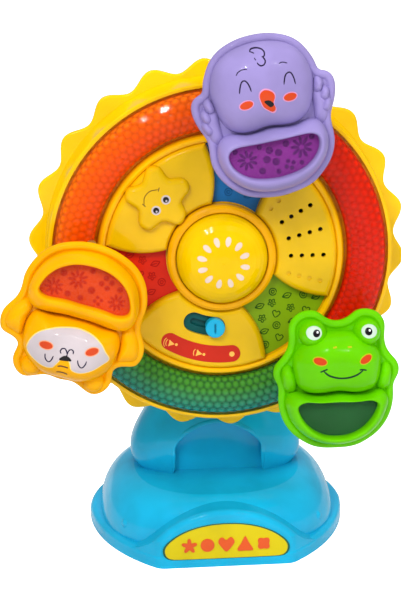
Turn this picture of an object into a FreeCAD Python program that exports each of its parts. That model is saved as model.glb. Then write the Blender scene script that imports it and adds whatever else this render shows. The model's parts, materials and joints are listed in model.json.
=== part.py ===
import FreeCAD, Part
import math
import os

# Table-top toy ferris wheel.  +Z is up, the face looks along -Y, and the origin is the middle of
# the stand's underside.  Everything on the wheel is drawn flat first: x to the right, y up and
# z towards the onlooker, with z = 0 at the front of the scalloped flange.  stand_up() then turns
# it upright at the hub's height.

Vector = FreeCAD.Vector
ORIGIN = Vector(0, 0, 0)
X_AXIS = Vector(1, 0, 0)
Y_AXIS = Vector(0, 1, 0)
Z_AXIS = Vector(0, 0, 1)
os.makedirs("parts", exist_ok=True)

# --- places -----------------------------------------------------------------------------------
HUB_HEIGHT = 169.0          # axle above the table
FLANGE_Y = -40.0            # front of the scalloped flange, ahead of the stand's middle
WHEEL_TURN = -15.0          # how far the wheel is turned from its switch pointing down
REACH = 400.0               # longer than anything here, for halving and trimming tools

# --- stand ------------------------------------------------------------------------------------
WALL = 2.2                  # moulded wall of the stand
SKIRT_HALF_WIDTH = 73.5
SKIRT_FRONT = 73.0
SKIRT_BACK = 73.0
SKIRT_FLAT = 36.0           # half the straight front edge
SKIRT_SHOULDER = (59.5, -46.0)
SKIRT_HEIGHT = 8.0
SKIRT_ROUND = 3.0
SKIRT_CORNER = 9.0
LEDGE = 5.0                 # how far the skirt's top reaches in under the dome
# the dome's plan at each height: height, half width, front, back
DOME_POWER = 2.5
DOME_LEVELS = [(SKIRT_HEIGHT, 67.0, 68.0, 66.0), (16.0, 65.6, 67.6, 64.6),
               (24.0, 61.5, 65.5, 60.5), (30.0, 55.5, 61.5, 55.0), (34.0, 47.5, 54.0, 48.0)]
SHELF_HEIGHT = DOME_LEVELS[-1][0]
# the stem's plan at each height, from inside the dome to the axle: height, half width, front, back
STEM_POWER = 2.6
STEM_LEVELS = [(30.0, 40.0, 24.0, 25.0), (46.0, 49.0, 26.0, 28.0), (60.0, 43.5, 25.0, 26.0),
               (74.0, 35.5, 20.0, 24.0), (95.0, 27.5, 18.5, 21.0), (125.0, 23.0, 18.0, 19.0),
               (150.0, 22.0, 18.0, 18.0)]
STEM_TOP_RADIUS = 22.0
STEM_TOP_ROUND = 4.0
ARCH_HALF_WIDTH = 25.5
ARCH_HEIGHT = 31.0
ARCH_DEPTH = 9.0

HUMP_DEPTH = 26.0           # the raised sign housing, front to back
HUMP_ROUND = 3.0
HUMP_SETBACK = 0.8
HUMP_HALF = [(0.0, 32.0), (16.0, 29.6), (28.0, 24.0), (37.5, 16.5), (46.0, 9.0), (55.0, 5.6)]
SIGN_HALF = [(0.0, 25.0), (12.5, 23.9), (23.0, 20.6), (30.8, 15.6), (34.2, 10.4),
             (32.6, 6.0), (27.0, 4.7), (12.0, 4.6), (0.0, 4.6)]
SIGN_THICKNESS = 1.6
SIGN_PROUD = 0.5            # how far the sign stands out of the hump

PLATE_THICKNESS = 2.4
PLATE_CLEARANCE = 0.3
FOOT_RADIUS = 8.0
FOOT_THICKNESS = 1.4
FOOT_PLACES = [(-46.0, -42.0), (46.0, -42.0), (-46.0, 42.0), (46.0, 42.0)]
BASE_SCREW_PLACES = [(-66.0, -4.0), (66.0, -4.0), (-44.0, -58.0), (44.0, -58.0),
                     (-42.0, 52.5), (42.0, 52.5)]
DOME_SCREW_PLACES = [(-61.0, 12.0), (61.0, 12.0), (-22.0, 60.0), (22.0, 60.0)]
STEM_SCREW_PLACES = [(-11.0, 148.0), (11.0, 148.0), (-18.0, 92.0), (18.0, 92.0),
                     (-38.0, 52.0), (38.0, 52.0)]
DOME_POST_TOP = 26.0
SIGN_SEAT_LEAD = 5.0        # how far the sign's recess is cut past its face
BUMP_PLACES = [(-52.6, -44.8), (52.6, -44.8)]
BUMP_HEIGHT = 15.0
BUMP_RADIUS = 3.2

# --- screws -----------------------------------------------------------------------------------
SCREW_HEAD_RADIUS = 2.6
SCREW_HEAD_HEIGHT = 1.8
SCREW_SHANK_RADIUS = 1.2
SCREW_GRIP = 6.0
BOSS_RADIUS = 3.6
SCREW_CLEARANCE = 0.3
SCREW_CROSS = 1.5           # half length of the driver's cross
SCREW_CROSS_HALF_WIDTH = 0.3
SCREW_CROSS_DEPTH = 0.8

# --- axle -------------------------------------------------------------------------------------
AXLE_RADIUS = 5.0
AXLE_FIT = 0.06             # running clearance between axle and bush
BUSH_WALL = 2.0
HUB_BOSS_WALL = 2.2
HUB_BOSS_HEIGHT = 11.0      # the rear housing's collar round the bush
BUSH_PROUD = 1.0            # how far the bush stands out of that collar
BEARING_WALL = 6.6
BEARING_BACK = 16.0         # back of the stem's bearing boss
STEM_FACE = -20.0           # front of the stem's bearing boss
AXLE_BACK = -55.0
AXLE_CAP_RADIUS = 10.0
AXLE_CAP_THICKNESS = 1.6
END_PLAY = 0.3

# --- wheel ------------------------------------------------------------------------------------
TIP_RADIUS = 100.0
VALLEY_RADIUS = 94.2
SCALLOPS = 22
SCALLOP_PHASE = 92.3        # one tip points along this direction before the wheel is turned
FLANGE_THICKNESS = 3.0
FLANGE_ROUND = 1.2
RIM_FOOT_RADIUS = 91.6      # the drum's side where it leaves the flange
RIM_TOP_RADIUS = 89.6
RIM_HEIGHT = 18.0
RIM_WALL = 2.2
RIM_BEVEL = 0.8
WINDOW_OUTER = 87.4
WINDOW_INNER = 64.6
WINDOW_CROWN = 25.0         # top of the windows' bulge
WINDOW_WALL = 1.4
WINDOW_SEAT = 14.5          # height of the ledges that carry the windows
SEAT_THICKNESS = 1.5
WINDOW_FIT = 0.15
REFLECTOR_GAP = 1.0
REFLECTOR_WALL = 1.0
BRIDGE_HALF_ANGLE = 9.0
BRIDGE_PROUD = 0.5
BRIDGE_LAP = 0.6            # how far a bridge reaches into the rim and the panel
BRIDGE_GAP = 0.2            # degrees between a bridge and the window beside it
PANEL_RADIUS = 60.0
PANEL_WALL = 2.0
PANEL_FLOOR = 16.5          # front of the panel between the petals
BEAD_OUTER = 63.6
BEAD_TOP = 20.6
BEAD_ROUND = 1.6
PETAL_TOP = 22.0
PETAL_ROUND = 2.8
PETAL_INNER = 28.4
PETAL_LAP = 0.1             # how far the petals reach into the bead
PETAL_INNER_ANGLE = 35.4
PETAL_OUTER_ANGLE = 37.4
PETAL_BULGE_ANGLE = 40.6
FILM_THICKNESS = 0.3
FILM_MARGIN = 0.5
FILM_HALF_ANGLE = 24.5
STAR_PETAL = 150.0
SPEAKER_PETAL = 30.0
SWITCH_PETAL = 270.0
PETALS = [STAR_PETAL, SPEAKER_PETAL, SWITCH_PETAL]
BRIDGE_ANGLES = {"bird": 90.0, "cub": 210.0, "frog": 330.0}
WINDOW_ANGLES = {"orange": 150.0, "red": 30.0, "green": 270.0}
FILM_ANGLES = {"blue": 90.0, "red": 210.0, "green": 330.0}

STAR_CENTRE_RADIUS = 45.4
STAR_TIP_RADIUS = 16.6
STAR_VALLEY_RADIUS = 12.0
STAR_TOP = 25.8
STAR_ROUND = 2.8
STAR_CAVITY_LAP = 1.0

SPEAKER_ROWS = [-30.0, -15.0, 0.0, 15.0, 30.0]
SPEAKER_HOLE_RADIUS = 1.2
SPEAKER_FIRST_HOLE = 35.9
SPEAKER_PITCH = 5.65
SPEAKER_HOLES = 4
DIMPLE_DEPTH = 0.8
SPEAKER_RADIUS = 11.5
SPEAKER_DEPTH = 7.0
SPEAKER_PLACE = 43.4
SPEAKER_RIM = 2.0
SPEAKER_MAGNET_RADIUS = 7.0
SPEAKER_CONE_DEPTH = 2.5

SWITCH_RADIUS = 37.2
SWITCH_HALF_TRAVEL = 8.8
SWITCH_SLOT_WIDTH = 10.8
KNOB_CLEARANCE = 0.3
KNOB_TOP = 25.4
KNOB_ROUND = 0.8
KNOB_STEM_RADIUS = 1.5
KNOB_KEEPER_RADIUS = 3.0    # the flange that holds the knob down behind its plate
KNOB_KEEPER_THICKNESS = 1.2
KNOB_MARK = 5.4
KNOB_MARK_WIDTH = 1.1
KNOB_MARK_DEPTH = 0.5
SWITCH_PLATE_WALL = 1.6
SWITCH_PLATE_IN = 6.0       # the plate's reach from the slot's middle line towards the hub
SWITCH_PLATE_OUT = 12.0
SWITCH_PLATE_MARGIN = 10.0  # degrees past the knob's travel at each end
LABEL_RADIUS = 52.0
LABEL_WIDTH = 9.2
LABEL_HALF_ANGLE = 18.6
LABEL_OFFSET = 1.5
LABEL_THICKNESS = 0.25

COLLAR_OUTER = 28.2
COLLAR_INNER = 24.0
COLLAR_TOP = 24.0
COLLAR_CLEARANCE = 0.2      # between the collar and the star's arm beside it
COLLAR_ROUND = 1.8
COLLAR_BEVEL = 0.5
COLLAR_LIP = 4.0            # depth of the collar's narrow mouth
COLLAR_SEAT = 2.0           # width of the panel's ledge under the collar
BUTTON_CLEARANCE = 0.4
BUTTON_EDGE = 23.0
BUTTON_TOP = 34.0
BUTTON_WALL = 2.0
BUTTON_FLANGE = 1.4
BUTTON_TRAVEL = 2.0
BUTTON_STEM_RADIUS = 6.0
BUTTON_STEM_FOOT = 18.5
PAD_WALL = 1.2

BACK_RADIUS = 86.0
BACK_FLOOR = -16.0
BACK_WALL = 2.2
BACK_ROUND = 4.0
BACK_RIM_RADIUS = 93.2
BOARD_OUTER = 56.0
BOARD_INNER = 13.0
BOARD_BACK = 7.0
BOARD_THICKNESS = 1.6
BOARD_SCREW_GRIP = 4.5
LED_RADIUS = 2.0
LED_HEIGHT = 4.4
LED_PLACE = 51.0
LED_ANGLES = [110.0, 190.0, 230.0, 310.0, 350.0, 70.0]
WHEEL_SCREW_PLACE = 61.0
WHEEL_SCREW_ANGLES = [20.0, 70.0, 110.0, 160.0, 200.0, 235.0, 305.0, 340.0]
WHEEL_POST_WALL = 0.8       # how much thicker the rear posts are than the front bosses
BOARD_POST_PLACE = 45.0
CELL_RADIUS = 5.25
CELL_LENGTH = 44.5
CELLS = 3
CELL_PITCH = 11.4
CELL_PLACE = -41.0          # middle of the battery bay, below the axle
BAY_WALL = 1.6
BAY_END = 4.0               # room for the contacts at each end of the cells
BAY_SIDE = 0.4              # room beside the outer cells
DOOR_MARGIN = 2.0
DOOR_FIT = 0.3
DOOR_GAP = 0.02             # between the door and the cells behind it
DOOR_TAB = 9.0
DOOR_SCREW_PLACE = 4.6      # from the door's edge to its screw
CONTACT_THICKNESS = 0.6
CONTACT_HALF = 4.0
CONTACT_NUB_RADIUS = 2.4

# --- gondolas ---------------------------------------------------------------------------------
POD_PLACE = 79.0
POD_BACK = 37.0
POD_PARTING = 43.0
POD_RIM = 48.4
POD_WALL = 2.0
POD_BACK_ROUND = 2.4
POD_RIM_ROUND = 2.2
HEAD_TOP = 61.0
HEAD_ROUND = 7.0
FRAME_TOP = 56.0
FRAME_ROUND = 2.4
LIMB_TOP = 53.5
LIMB_DEPTH = 3.0            # how far a limb reaches in below the rim
RELIEF_DEPTH = 2.5          # how far head, frame and eye bulges reach in below the rim
HEAD_WALL = 3.0
HEAD_ROOF = 4.0
BUMP_ROUND_SHARE = 0.45
WINDOW_LAP = 1.6
POD_WINDOW_WALL = 1.4
CARD_THICKNESS = 0.4
PORTHOLE_SHOULDER = 3.6
PIVOT_RADIUS = 3.0
PIVOT_FIT = 0.07
PIVOT_COLLAR_RADIUS = 6.0
PIVOT_FOOT = 17.0
PIVOT_BOSS_RADIUS = 7.5
PIVOT_BOSS_TOP = 31.0
PIVOT_SLEEVE_RADIUS = 6.5
PIVOT_SLEEVE_DROP = 1.0     # how far the gondola's sleeve stays behind the shells' parting
PIVOT_CAP_THICKNESS = 1.2

PODS = {
    "bird": {
        "tilt": 10.5,
        "body": [(0, 39.6), (10.5, 37.8), (19.8, 32.8), (25.8, 24.6), (28.0, 17.4), (32.6, 15.2),
                 (35.8, 9.8), (34.6, 1.8), (31.6, -6.0), (31.4, -15.5), (28.8, -26.0),
                 (21.8, -34.8), (11.5, -39.8), (0, -41.0)],
        "head": [(0, 36.8), (8.5, 35.9), (16.8, 32.6), (22.6, 26.6), (25.0, 19.5), (24.8, 12.0),
                 (22.8, 4.5), (18.6, -1.6), (10.5, -4.6), (0, -5.0)],
        "frame": [(0, -6.4), (11.0, -6.2), (19.5, -5.4), (25.2, -7.6), (27.2, -14.2),
                  (25.3, -22.3), (20.5, -29.5), (11.5, -34.3), (0, -35.8)],
        "porthole": (21.4, -12.6, -30.4),
        "limbs": [((26.6, 11.5), (30.6, 11.8), 2.6), ((27.6, 6.6), (31.4, 5.8), 2.6),
                  ((27.4, 1.6), (30.6, 0.2), 2.5), ((26.2, -3.0), (28.6, -4.6), 2.2)],
        "bumps": [],
        "head_screw": (15.0, 24.0),
        "foot_screw": -36.2,
    },
    "cub": {
        "tilt": 164.0,
        "body": [(0, 33.6), (8.6, 33.8), (13.0, 36.4), (18.5, 37.6), (23.0, 35.0), (25.2, 29.5),
                 (25.8, 22.6), (29.0, 19.2), (34.4, 17.6), (37.3, 13.0), (37.2, 6.6),
                 (35.0, 0.8), (32.2, -4.0), (31.6, -11.0), (30.4, -18.2), (27.3, -25.4),
                 (20.5, -33.2), (11.5, -37.8), (0, -39.3)],
        "head": [(0, 30.8), (10.0, 29.8), (17.8, 26.2), (22.4, 20.0), (24.0, 12.5), (23.4, 5.4),
                 (18.8, 0.8), (10.0, -0.8), (0, -1.2)],
        "frame": [(0, -2.6), (11.0, -2.3), (20.0, -1.6), (25.6, -4.2), (27.5, -10.4),
                  (26.6, -17.6), (22.6, -25.2), (15.5, -31.4), (8.0, -34.6), (0, -35.3)],
        "porthole": (22.3, -8.8, -29.3),
        "limbs": [((28.4, 4.6), (32.4, 11.4), 3.6)],
        "bumps": [(18.2, 31.2, 4.6)],
        "head_screw": (14.0, 20.0),
        "foot_screw": -35.0,
    },
    "frog": {
        "tilt": 1.5,
        "body": [(0, 28.3), (4.0, 29.6), (8.0, 33.0), (13.5, 34.9), (19.5, 33.4), (23.6, 29.0),
                 (24.8, 23.2), (25.0, 17.4), (27.6, 12.0), (31.2, 6.8), (32.6, 1.4),
                 (31.2, -4.2), (30.2, -9.5), (30.0, -16.0), (27.6, -24.0), (22.0, -32.0),
                 (13.5, -37.9), (0, -40.2)],
        "head": [(0, 25.6), (7.0, 24.3), (12.5, 21.4), (18.6, 18.8), (22.0, 13.5), (22.3, 7.0),
                 (21.0, 0.6), (17.0, -3.8), (9.0, -5.6), (0, -5.8)],
        "frame": [(0, -7.0), (10.0, -7.0), (19.5, -5.8), (24.8, -7.6), (26.4, -12.8),
                  (25.4, -19.2), (22.0, -25.8), (15.5, -31.0), (7.0, -33.3), (0, -33.6)],
        "porthole": (20.5, -12.0, -30.0),
        "limbs": [((26.2, 5.6), (27.4, -1.2), 2.8)],
        "bumps": [(14.0, 25.4, 7.6)],
        "head_screw": (13.0, 12.0),
        "foot_screw": -36.0,
    },
}

# --- sizes that follow from the ones above ----------------------------------------------------
BUSH_RADIUS = AXLE_RADIUS + AXLE_FIT + BUSH_WALL
BOARD_FRONT = BOARD_BACK + BOARD_THICKNESS
PANEL_BACK = PANEL_FLOOR - PANEL_WALL
PETAL_INSIDE = PETAL_TOP - PANEL_WALL
SEAT_WIDTH = WINDOW_FIT + WINDOW_WALL + REFLECTOR_GAP + REFLECTOR_WALL
BEAD_INNER = WINDOW_OUTER + WINDOW_FIT
PANEL_EDGE = WINDOW_INNER - WINDOW_FIT
PANEL_HOLE = COLLAR_OUTER - COLLAR_SEAT
PETAL_OUTER = PANEL_RADIUS + PETAL_LAP
BUTTON_RADIUS = COLLAR_INNER - BUTTON_CLEARANCE
BUTTON_FLANGE_RADIUS = COLLAR_INNER + BUTTON_FLANGE - BUTTON_CLEARANCE
BUTTON_FLANGE_TOP = COLLAR_TOP - COLLAR_LIP - END_PLAY
KNOB_RADIUS = SWITCH_SLOT_WIDTH / 2 - KNOB_CLEARANCE
KNOB_FOOT = PETAL_INSIDE + KNOB_CLEARANCE
KNOB_KEEPER_TOP = PETAL_INSIDE - SWITCH_PLATE_WALL - KNOB_CLEARANCE
KNOB_STEM_FOOT = BOARD_FRONT + END_PLAY
BACK_INSIDE = BACK_FLOOR + BACK_WALL
CELL_LEVEL = BACK_FLOOR + BAY_WALL + CELL_RADIUS
BUSH_FRONT = BACK_INSIDE + HUB_BOSS_HEIGHT + BUSH_PROUD
AXLE_FRONT = BUSH_FRONT + END_PLAY
POD_INSIDE = POD_BACK + POD_WALL
PIVOT_SLEEVE_TOP = POD_PARTING - PIVOT_SLEEVE_DROP
PIVOT_TOP = PIVOT_SLEEVE_TOP + END_PLAY
SIGN_FRONT = SKIRT_FRONT - HUMP_SETBACK + SIGN_PROUD


# --- drawing helpers --------------------------------------------------------------------------
def polar(radius, angle, height=0.0):
    turn = math.radians(angle)
    return Vector(radius * math.cos(turn), radius * math.sin(turn), height)


def cylinder(radius, low, high, centre=(0.0, 0.0)):
    return Part.makeCylinder(radius, high - low, Vector(centre[0], centre[1], low))


def tube(outer, inner, low, high, centre=(0.0, 0.0)):
    return cylinder(outer, low, high, centre).cut(cylinder(inner, low, high, centre))


def block(x_span, y_span, z_span):
    size = [span[1] - span[0] for span in (x_span, y_span, z_span)]
    return Part.makeBox(*size, Vector(x_span[0], y_span[0], z_span[0]))


def fused(shapes):
    first, rest = shapes[0], shapes[1:]
    return first.multiFuse(rest) if rest else first


def spun(profile, start=0.0, sweep=360.0):
    """A (radius, height) polygon turned about the wheel's axis."""
    corners = [Vector(radius, 0, height) for radius, height in profile]
    face = Part.Face(Part.makePolygon(corners + corners[:1]))
    solid = face.revolve(ORIGIN, Z_AXIS, sweep)
    solid.rotate(ORIGIN, Z_AXIS, start)
    return solid


def spline_wire(points, height=0.0):
    """A smooth closed wire through the points."""
    curve = Part.BSplineCurve()
    curve.interpolate(Points=[Vector(x, y, height) for x, y in points], PeriodicFlag=True)
    return Part.Wire(curve.toShape())


def slab(points, low, high):
    return Part.Face(spline_wire(points, low)).extrude(Vector(0, 0, high - low))


def edges_at(shape, height):
    return [edge for edge in shape.Edges
            if abs(edge.BoundBox.ZMin - height) < 1e-3 and abs(edge.BoundBox.ZMax - height) < 1e-3]


def rounded_slab(points, low, high, radius):
    solid = slab(points, low, high)
    return solid.makeFillet(radius, edges_at(solid, high))


def both_sides(half):
    """The whole loop of an outline given from top to bottom on its right side."""
    return half + [(-x, y) for x, y in reversed(half[1:-1])]


def grown(points, distance):
    """The clockwise loop with each point moved outwards along its own normal."""
    count = len(points)
    moved = []
    for index, (x, y) in enumerate(points):
        before, after = points[index - 1], points[(index + 1) % count]
        along_x, along_y = after[0] - before[0], after[1] - before[1]
        length = math.hypot(along_x, along_y)
        moved.append((x - distance * along_y / length, y + distance * along_x / length))
    return moved


def sector(inner, outer, half_angle, low, high, centre=0.0):
    corners = [(inner, low), (outer, low), (outer, high), (inner, high)]
    return spun(corners, centre - half_angle, 2 * half_angle)


def arc_slot(radius, half_angle, width, low, high, centre):
    """A slot bent about the wheel's axis, with round ends."""
    half = width / 2
    ends = []
    for angle in (centre - half_angle, centre + half_angle):
        end = polar(radius, angle)
        ends.append(cylinder(half, low, high, (end.x, end.y)))
    return fused([sector(radius - half, radius + half, half_angle, low, high, centre)] + ends)


def stand_up(shape, y=FLANGE_Y, height=HUB_HEIGHT):
    """From the flat drawing to the upright toy."""
    upright = shape.copy()
    upright.rotate(ORIGIN, X_AXIS, 90)
    upright.translate(Vector(0, y, height))
    return upright


def on_wheel(shape):
    """A piece of the wheel, turned with it and stood up."""
    turned = shape.copy()
    turned.rotate(ORIGIN, Z_AXIS, WHEEL_TURN)
    return stand_up(turned)


def on_pod(shape, name):
    """A piece of a gondola, tilted about its pivot and put in its place on the wheel."""
    hung = shape.copy()
    hung.rotate(ORIGIN, Z_AXIS, PODS[name]["tilt"])
    hung.translate(polar(POD_PLACE, BRIDGE_ANGLES[name] + WHEEL_TURN))
    return stand_up(hung)


def screw(head_low, length, centre=(0.0, 0.0)):
    """A pan-head screw with its shank along +z."""
    head = cylinder(SCREW_HEAD_RADIUS, head_low, head_low + SCREW_HEAD_HEIGHT, centre)
    shank_low = head_low + SCREW_HEAD_HEIGHT
    shank = cylinder(SCREW_SHANK_RADIUS, shank_low, shank_low + length, centre)
    cross = [block((centre[0] - long_way, centre[0] + long_way),
                   (centre[1] - short_way, centre[1] + short_way),
                   (head_low, head_low + SCREW_CROSS_DEPTH))
             for long_way, short_way in ((SCREW_CROSS, SCREW_CROSS_HALF_WIDTH),
                                         (SCREW_CROSS_HALF_WIDTH, SCREW_CROSS))]
    return head.fuse(shank).cut(fused(cross))


def save(name, shape):
    pieces = shape.Solids
    keep = pieces[0] if len(pieces) == 1 else Part.makeCompound(pieces)
    keep.exportStep("parts/%s.step" % name)
    print("%-24s solids %2d volume %9.0f valid %s" % (name, len(pieces), shape.Volume, shape.isValid()))


# --- stand ------------------------------------------------------------------------------------
def skirt_wire(inset, height):
    """The stand's outline: a straight front, two bowed shoulders and a round back."""
    wide = SKIRT_HALF_WIDTH - inset
    front = SKIRT_FRONT - inset
    back = SKIRT_BACK - inset
    flat = SKIRT_FLAT - 0.4 * inset
    shoulder_x = SKIRT_SHOULDER[0] - 0.75 * inset
    shoulder_y = SKIRT_SHOULDER[1] + 0.7 * inset
    slant = math.sqrt(0.5)

    def at(x, y):
        return Vector(x, y, height)

    edges = [Part.LineSegment(at(-flat, -front), at(flat, -front)).toShape(),
             Part.Arc(at(flat, -front), at(shoulder_x, shoulder_y), at(wide, 0)).toShape(),
             Part.Arc(at(wide, 0), at(wide * slant, back * slant), at(0, back)).toShape(),
             Part.Arc(at(0, back), at(-wide * slant, back * slant), at(-wide, 0)).toShape(),
             Part.Arc(at(-wide, 0), at(-shoulder_x, shoulder_y), at(-flat, -front)).toShape()]
    return Part.Wire(edges)


def skirt_slab(inset, low, high, corner=SKIRT_CORNER):
    solid = Part.Face(skirt_wire(inset, low)).extrude(Vector(0, 0, high - low))
    upright = [edge for edge in solid.Edges
               if edge.BoundBox.ZLength > (high - low) / 2 and edge.BoundBox.YMax < SKIRT_SHOULDER[1]]
    return solid.makeFillet(corner, upright)


def plan_points(half_width, front, back, power):
    """A squared-off oval: |x/a|^n + |y/b|^n = 1, with its own depth at the front and the back."""
    points = []
    for step in range(24):
        turn = math.radians(15.0 * step)
        across, along = math.cos(turn), math.sin(turn)
        depth = back if along > 0 else front
        points.append((math.copysign(half_width * abs(across) ** (2 / power), across),
                       math.copysign(depth * abs(along) ** (2 / power), along)))
    return points


def lofted(levels, power, inset=0.0):
    wires = [spline_wire(plan_points(wide - inset, front - inset, back - inset, power), height)
             for height, wide, front, back in levels]
    return Part.makeLoft(wires, True, False)


def dome(inset=0.0):
    levels = [(height - inset, wide, front, back) for height, wide, front, back in DOME_LEVELS]
    return lofted(levels, DOME_POWER, inset)


def stem(inset=0.0):
    """A column that narrows upwards, a straight neck and a round head about the axle."""
    column = lofted(STEM_LEVELS, STEM_POWER, inset)
    shoulder = STEM_LEVELS[-1][0]
    wide, front, back = [size - inset for size in STEM_LEVELS[-1][1:]]
    neck = slab(plan_points(wide, front, back, STEM_POWER), shoulder, HUB_HEIGHT)
    head = Part.makeCylinder(STEM_TOP_RADIUS - inset, front + back, Vector(0, -front, HUB_HEIGHT), Y_AXIS)
    rims = [edge for edge in head.Edges if edge.BoundBox.YLength < 1e-3]
    return fused([column, neck, head.makeFillet(STEM_TOP_ROUND - inset / 2, rims)])


def arch(grow=0.0):
    """The recess between the stem's two lobes: a straight-sided arch sunk into its front."""
    half = ARCH_HALF_WIDTH + grow
    spring = SHELF_HEIGHT - grow
    top = SHELF_HEIGHT + ARCH_HEIGHT + grow
    shoulder = SHELF_HEIGHT + 0.55 * ARCH_HEIGHT
    front = STEM_LEVELS[1][2]
    edges = [Part.LineSegment(Vector(half, 0, spring), Vector(half, 0, shoulder)).toShape(),
             Part.Arc(Vector(half, 0, shoulder), Vector(0, 0, top), Vector(-half, 0, shoulder)).toShape(),
             Part.LineSegment(Vector(-half, 0, shoulder), Vector(-half, 0, spring)).toShape(),
             Part.LineSegment(Vector(-half, 0, spring), Vector(half, 0, spring)).toShape()]
    recess = Part.Face(Part.Wire(edges)).extrude(Vector(0, REACH, 0))
    recess.translate(Vector(0, -front + ARCH_DEPTH + grow - REACH, 0))
    return recess


def along_y(radius, low, high, place):
    """A round bar along Y at (x, z)."""
    return Part.makeCylinder(radius, high - low, Vector(place[0], low, place[1]), Y_AXIS)


def make_stand_shells():
    bumps = [Part.makeSphere(BUMP_RADIUS, Vector(x, y, BUMP_HEIGHT)) for x, y in BUMP_PLACES]
    outer = fused([dome(), stem()] + bumps).cut(arch())
    inner = dome(WALL).fuse(stem(WALL)).cut(arch(WALL))
    shell = outer.cut(inner)
    axle_centre = (0.0, HUB_HEIGHT)
    face_y = FLANGE_Y - STEM_FACE
    boss = along_y(AXLE_RADIUS + BEARING_WALL, face_y, BEARING_BACK, axle_centre)
    bosses = [along_y(BOSS_RADIUS, -REACH, REACH, place).common(outer) for place in STEM_SCREW_PLACES]
    posts = [cylinder(BOSS_RADIUS, SKIRT_HEIGHT, DOME_POST_TOP, place).common(outer)
             for place in DOME_SCREW_PLACES]
    shell = fused([shell, boss] + bosses + posts)
    axle_hole = along_y(AXLE_RADIUS, -REACH, FLANGE_Y - AXLE_BACK, axle_centre)
    pilots = [along_y(SCREW_SHANK_RADIUS, -SCREW_GRIP, REACH, place) for place in STEM_SCREW_PLACES]
    sinks = [along_y(SCREW_HEAD_RADIUS + SCREW_CLEARANCE, WALL, REACH, place)
             for place in STEM_SCREW_PLACES]
    taps = [cylinder(SCREW_SHANK_RADIUS, 0, SKIRT_HEIGHT + SCREW_GRIP, place)
            for place in DOME_SCREW_PLACES]
    shell = shell.cut(fused([axle_hole] + taps))
    shell = shell.cut(Part.makeCompound(pilots)).cut(Part.makeCompound(sinks))
    front_half = block((-REACH, REACH), (-REACH, 0), (0, REACH))
    back_half = block((-REACH, REACH), (0, REACH), (0, REACH))
    save("stand_front_shell", shell.common(front_half))
    save("stand_rear_shell", shell.common(back_half))


def hump(inset=0.0):
    """The raised housing of the sign: an arched prism with a rounded front edge."""
    low = SKIRT_HEIGHT / 4
    half = [(x, y - inset) for x, y in HUMP_HALF]
    line = [(-x, y) for x, y in reversed(half[1:])] + half
    brow_curve = Part.BSplineCurve()
    brow_curve.interpolate([Vector(x, y, 0) for x, y in line])
    reach, foot = line[-1]
    below = [Vector(reach, foot, 0), Vector(reach, low, 0), Vector(-reach, low, 0), Vector(-reach, foot, 0)]
    face = Part.Face(Part.Wire([brow_curve.toShape()] + Part.makePolygon(below).Edges))
    front = SKIRT_FRONT - HUMP_SETBACK - inset
    face.translate(Vector(0, 0, front - HUMP_DEPTH))
    prism = face.extrude(Vector(0, 0, HUMP_DEPTH))
    if inset == 0.0:
        brow = [edge for edge in edges_at(prism, front) if edge.BoundBox.YMax > SKIRT_HEIGHT * 2]
        prism = prism.makeFillet(HUMP_ROUND, brow)
    return stand_up(prism, 0.0, 0.0)


def make_skirt():
    tray = skirt_slab(0.0, 0.0, SKIRT_HEIGHT)
    tray = tray.makeFillet(SKIRT_ROUND, edges_at(tray, SKIRT_HEIGHT))
    outside = skirt_slab(0.4, 0.0, SKIRT_FRONT)
    body = tray.fuse(hump().common(outside))
    cavity = skirt_slab(WALL, 0.0, SKIRT_HEIGHT - WALL)
    hump_cavity = hump(WALL).common(skirt_slab(WALL, 0.0, SKIRT_FRONT))
    mouth = [size - LEDGE for size in DOME_LEVELS[0][1:]]
    hole = slab(plan_points(*mouth, DOME_POWER), 0, SKIRT_HEIGHT)
    dome_room = block((-REACH, REACH), (-REACH, REACH), (SKIRT_HEIGHT, REACH)).common(dome())
    body = body.cut(fused([cavity, hump_cavity])).cut(hole).cut(dome_room)
    posts = [cylinder(BOSS_RADIUS, PLATE_THICKNESS, SKIRT_HEIGHT - WALL / 2, place)
             for place in BASE_SCREW_PLACES]
    body = fused([body] + posts)
    taps = [cylinder(SCREW_SHANK_RADIUS, 0, SKIRT_HEIGHT - WALL, place) for place in BASE_SCREW_PLACES]
    ways = [cylinder(SCREW_SHANK_RADIUS, 0, SKIRT_HEIGHT, place) for place in DOME_SCREW_PLACES]
    seat = slab(both_sides(SIGN_HALF), SIGN_FRONT - SIGN_THICKNESS, SIGN_FRONT + SIGN_SEAT_LEAD)
    body = body.cut(Part.makeCompound(taps + ways)).cut(stand_up(seat, 0.0, 0.0))
    save("stand_skirt", body)


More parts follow.
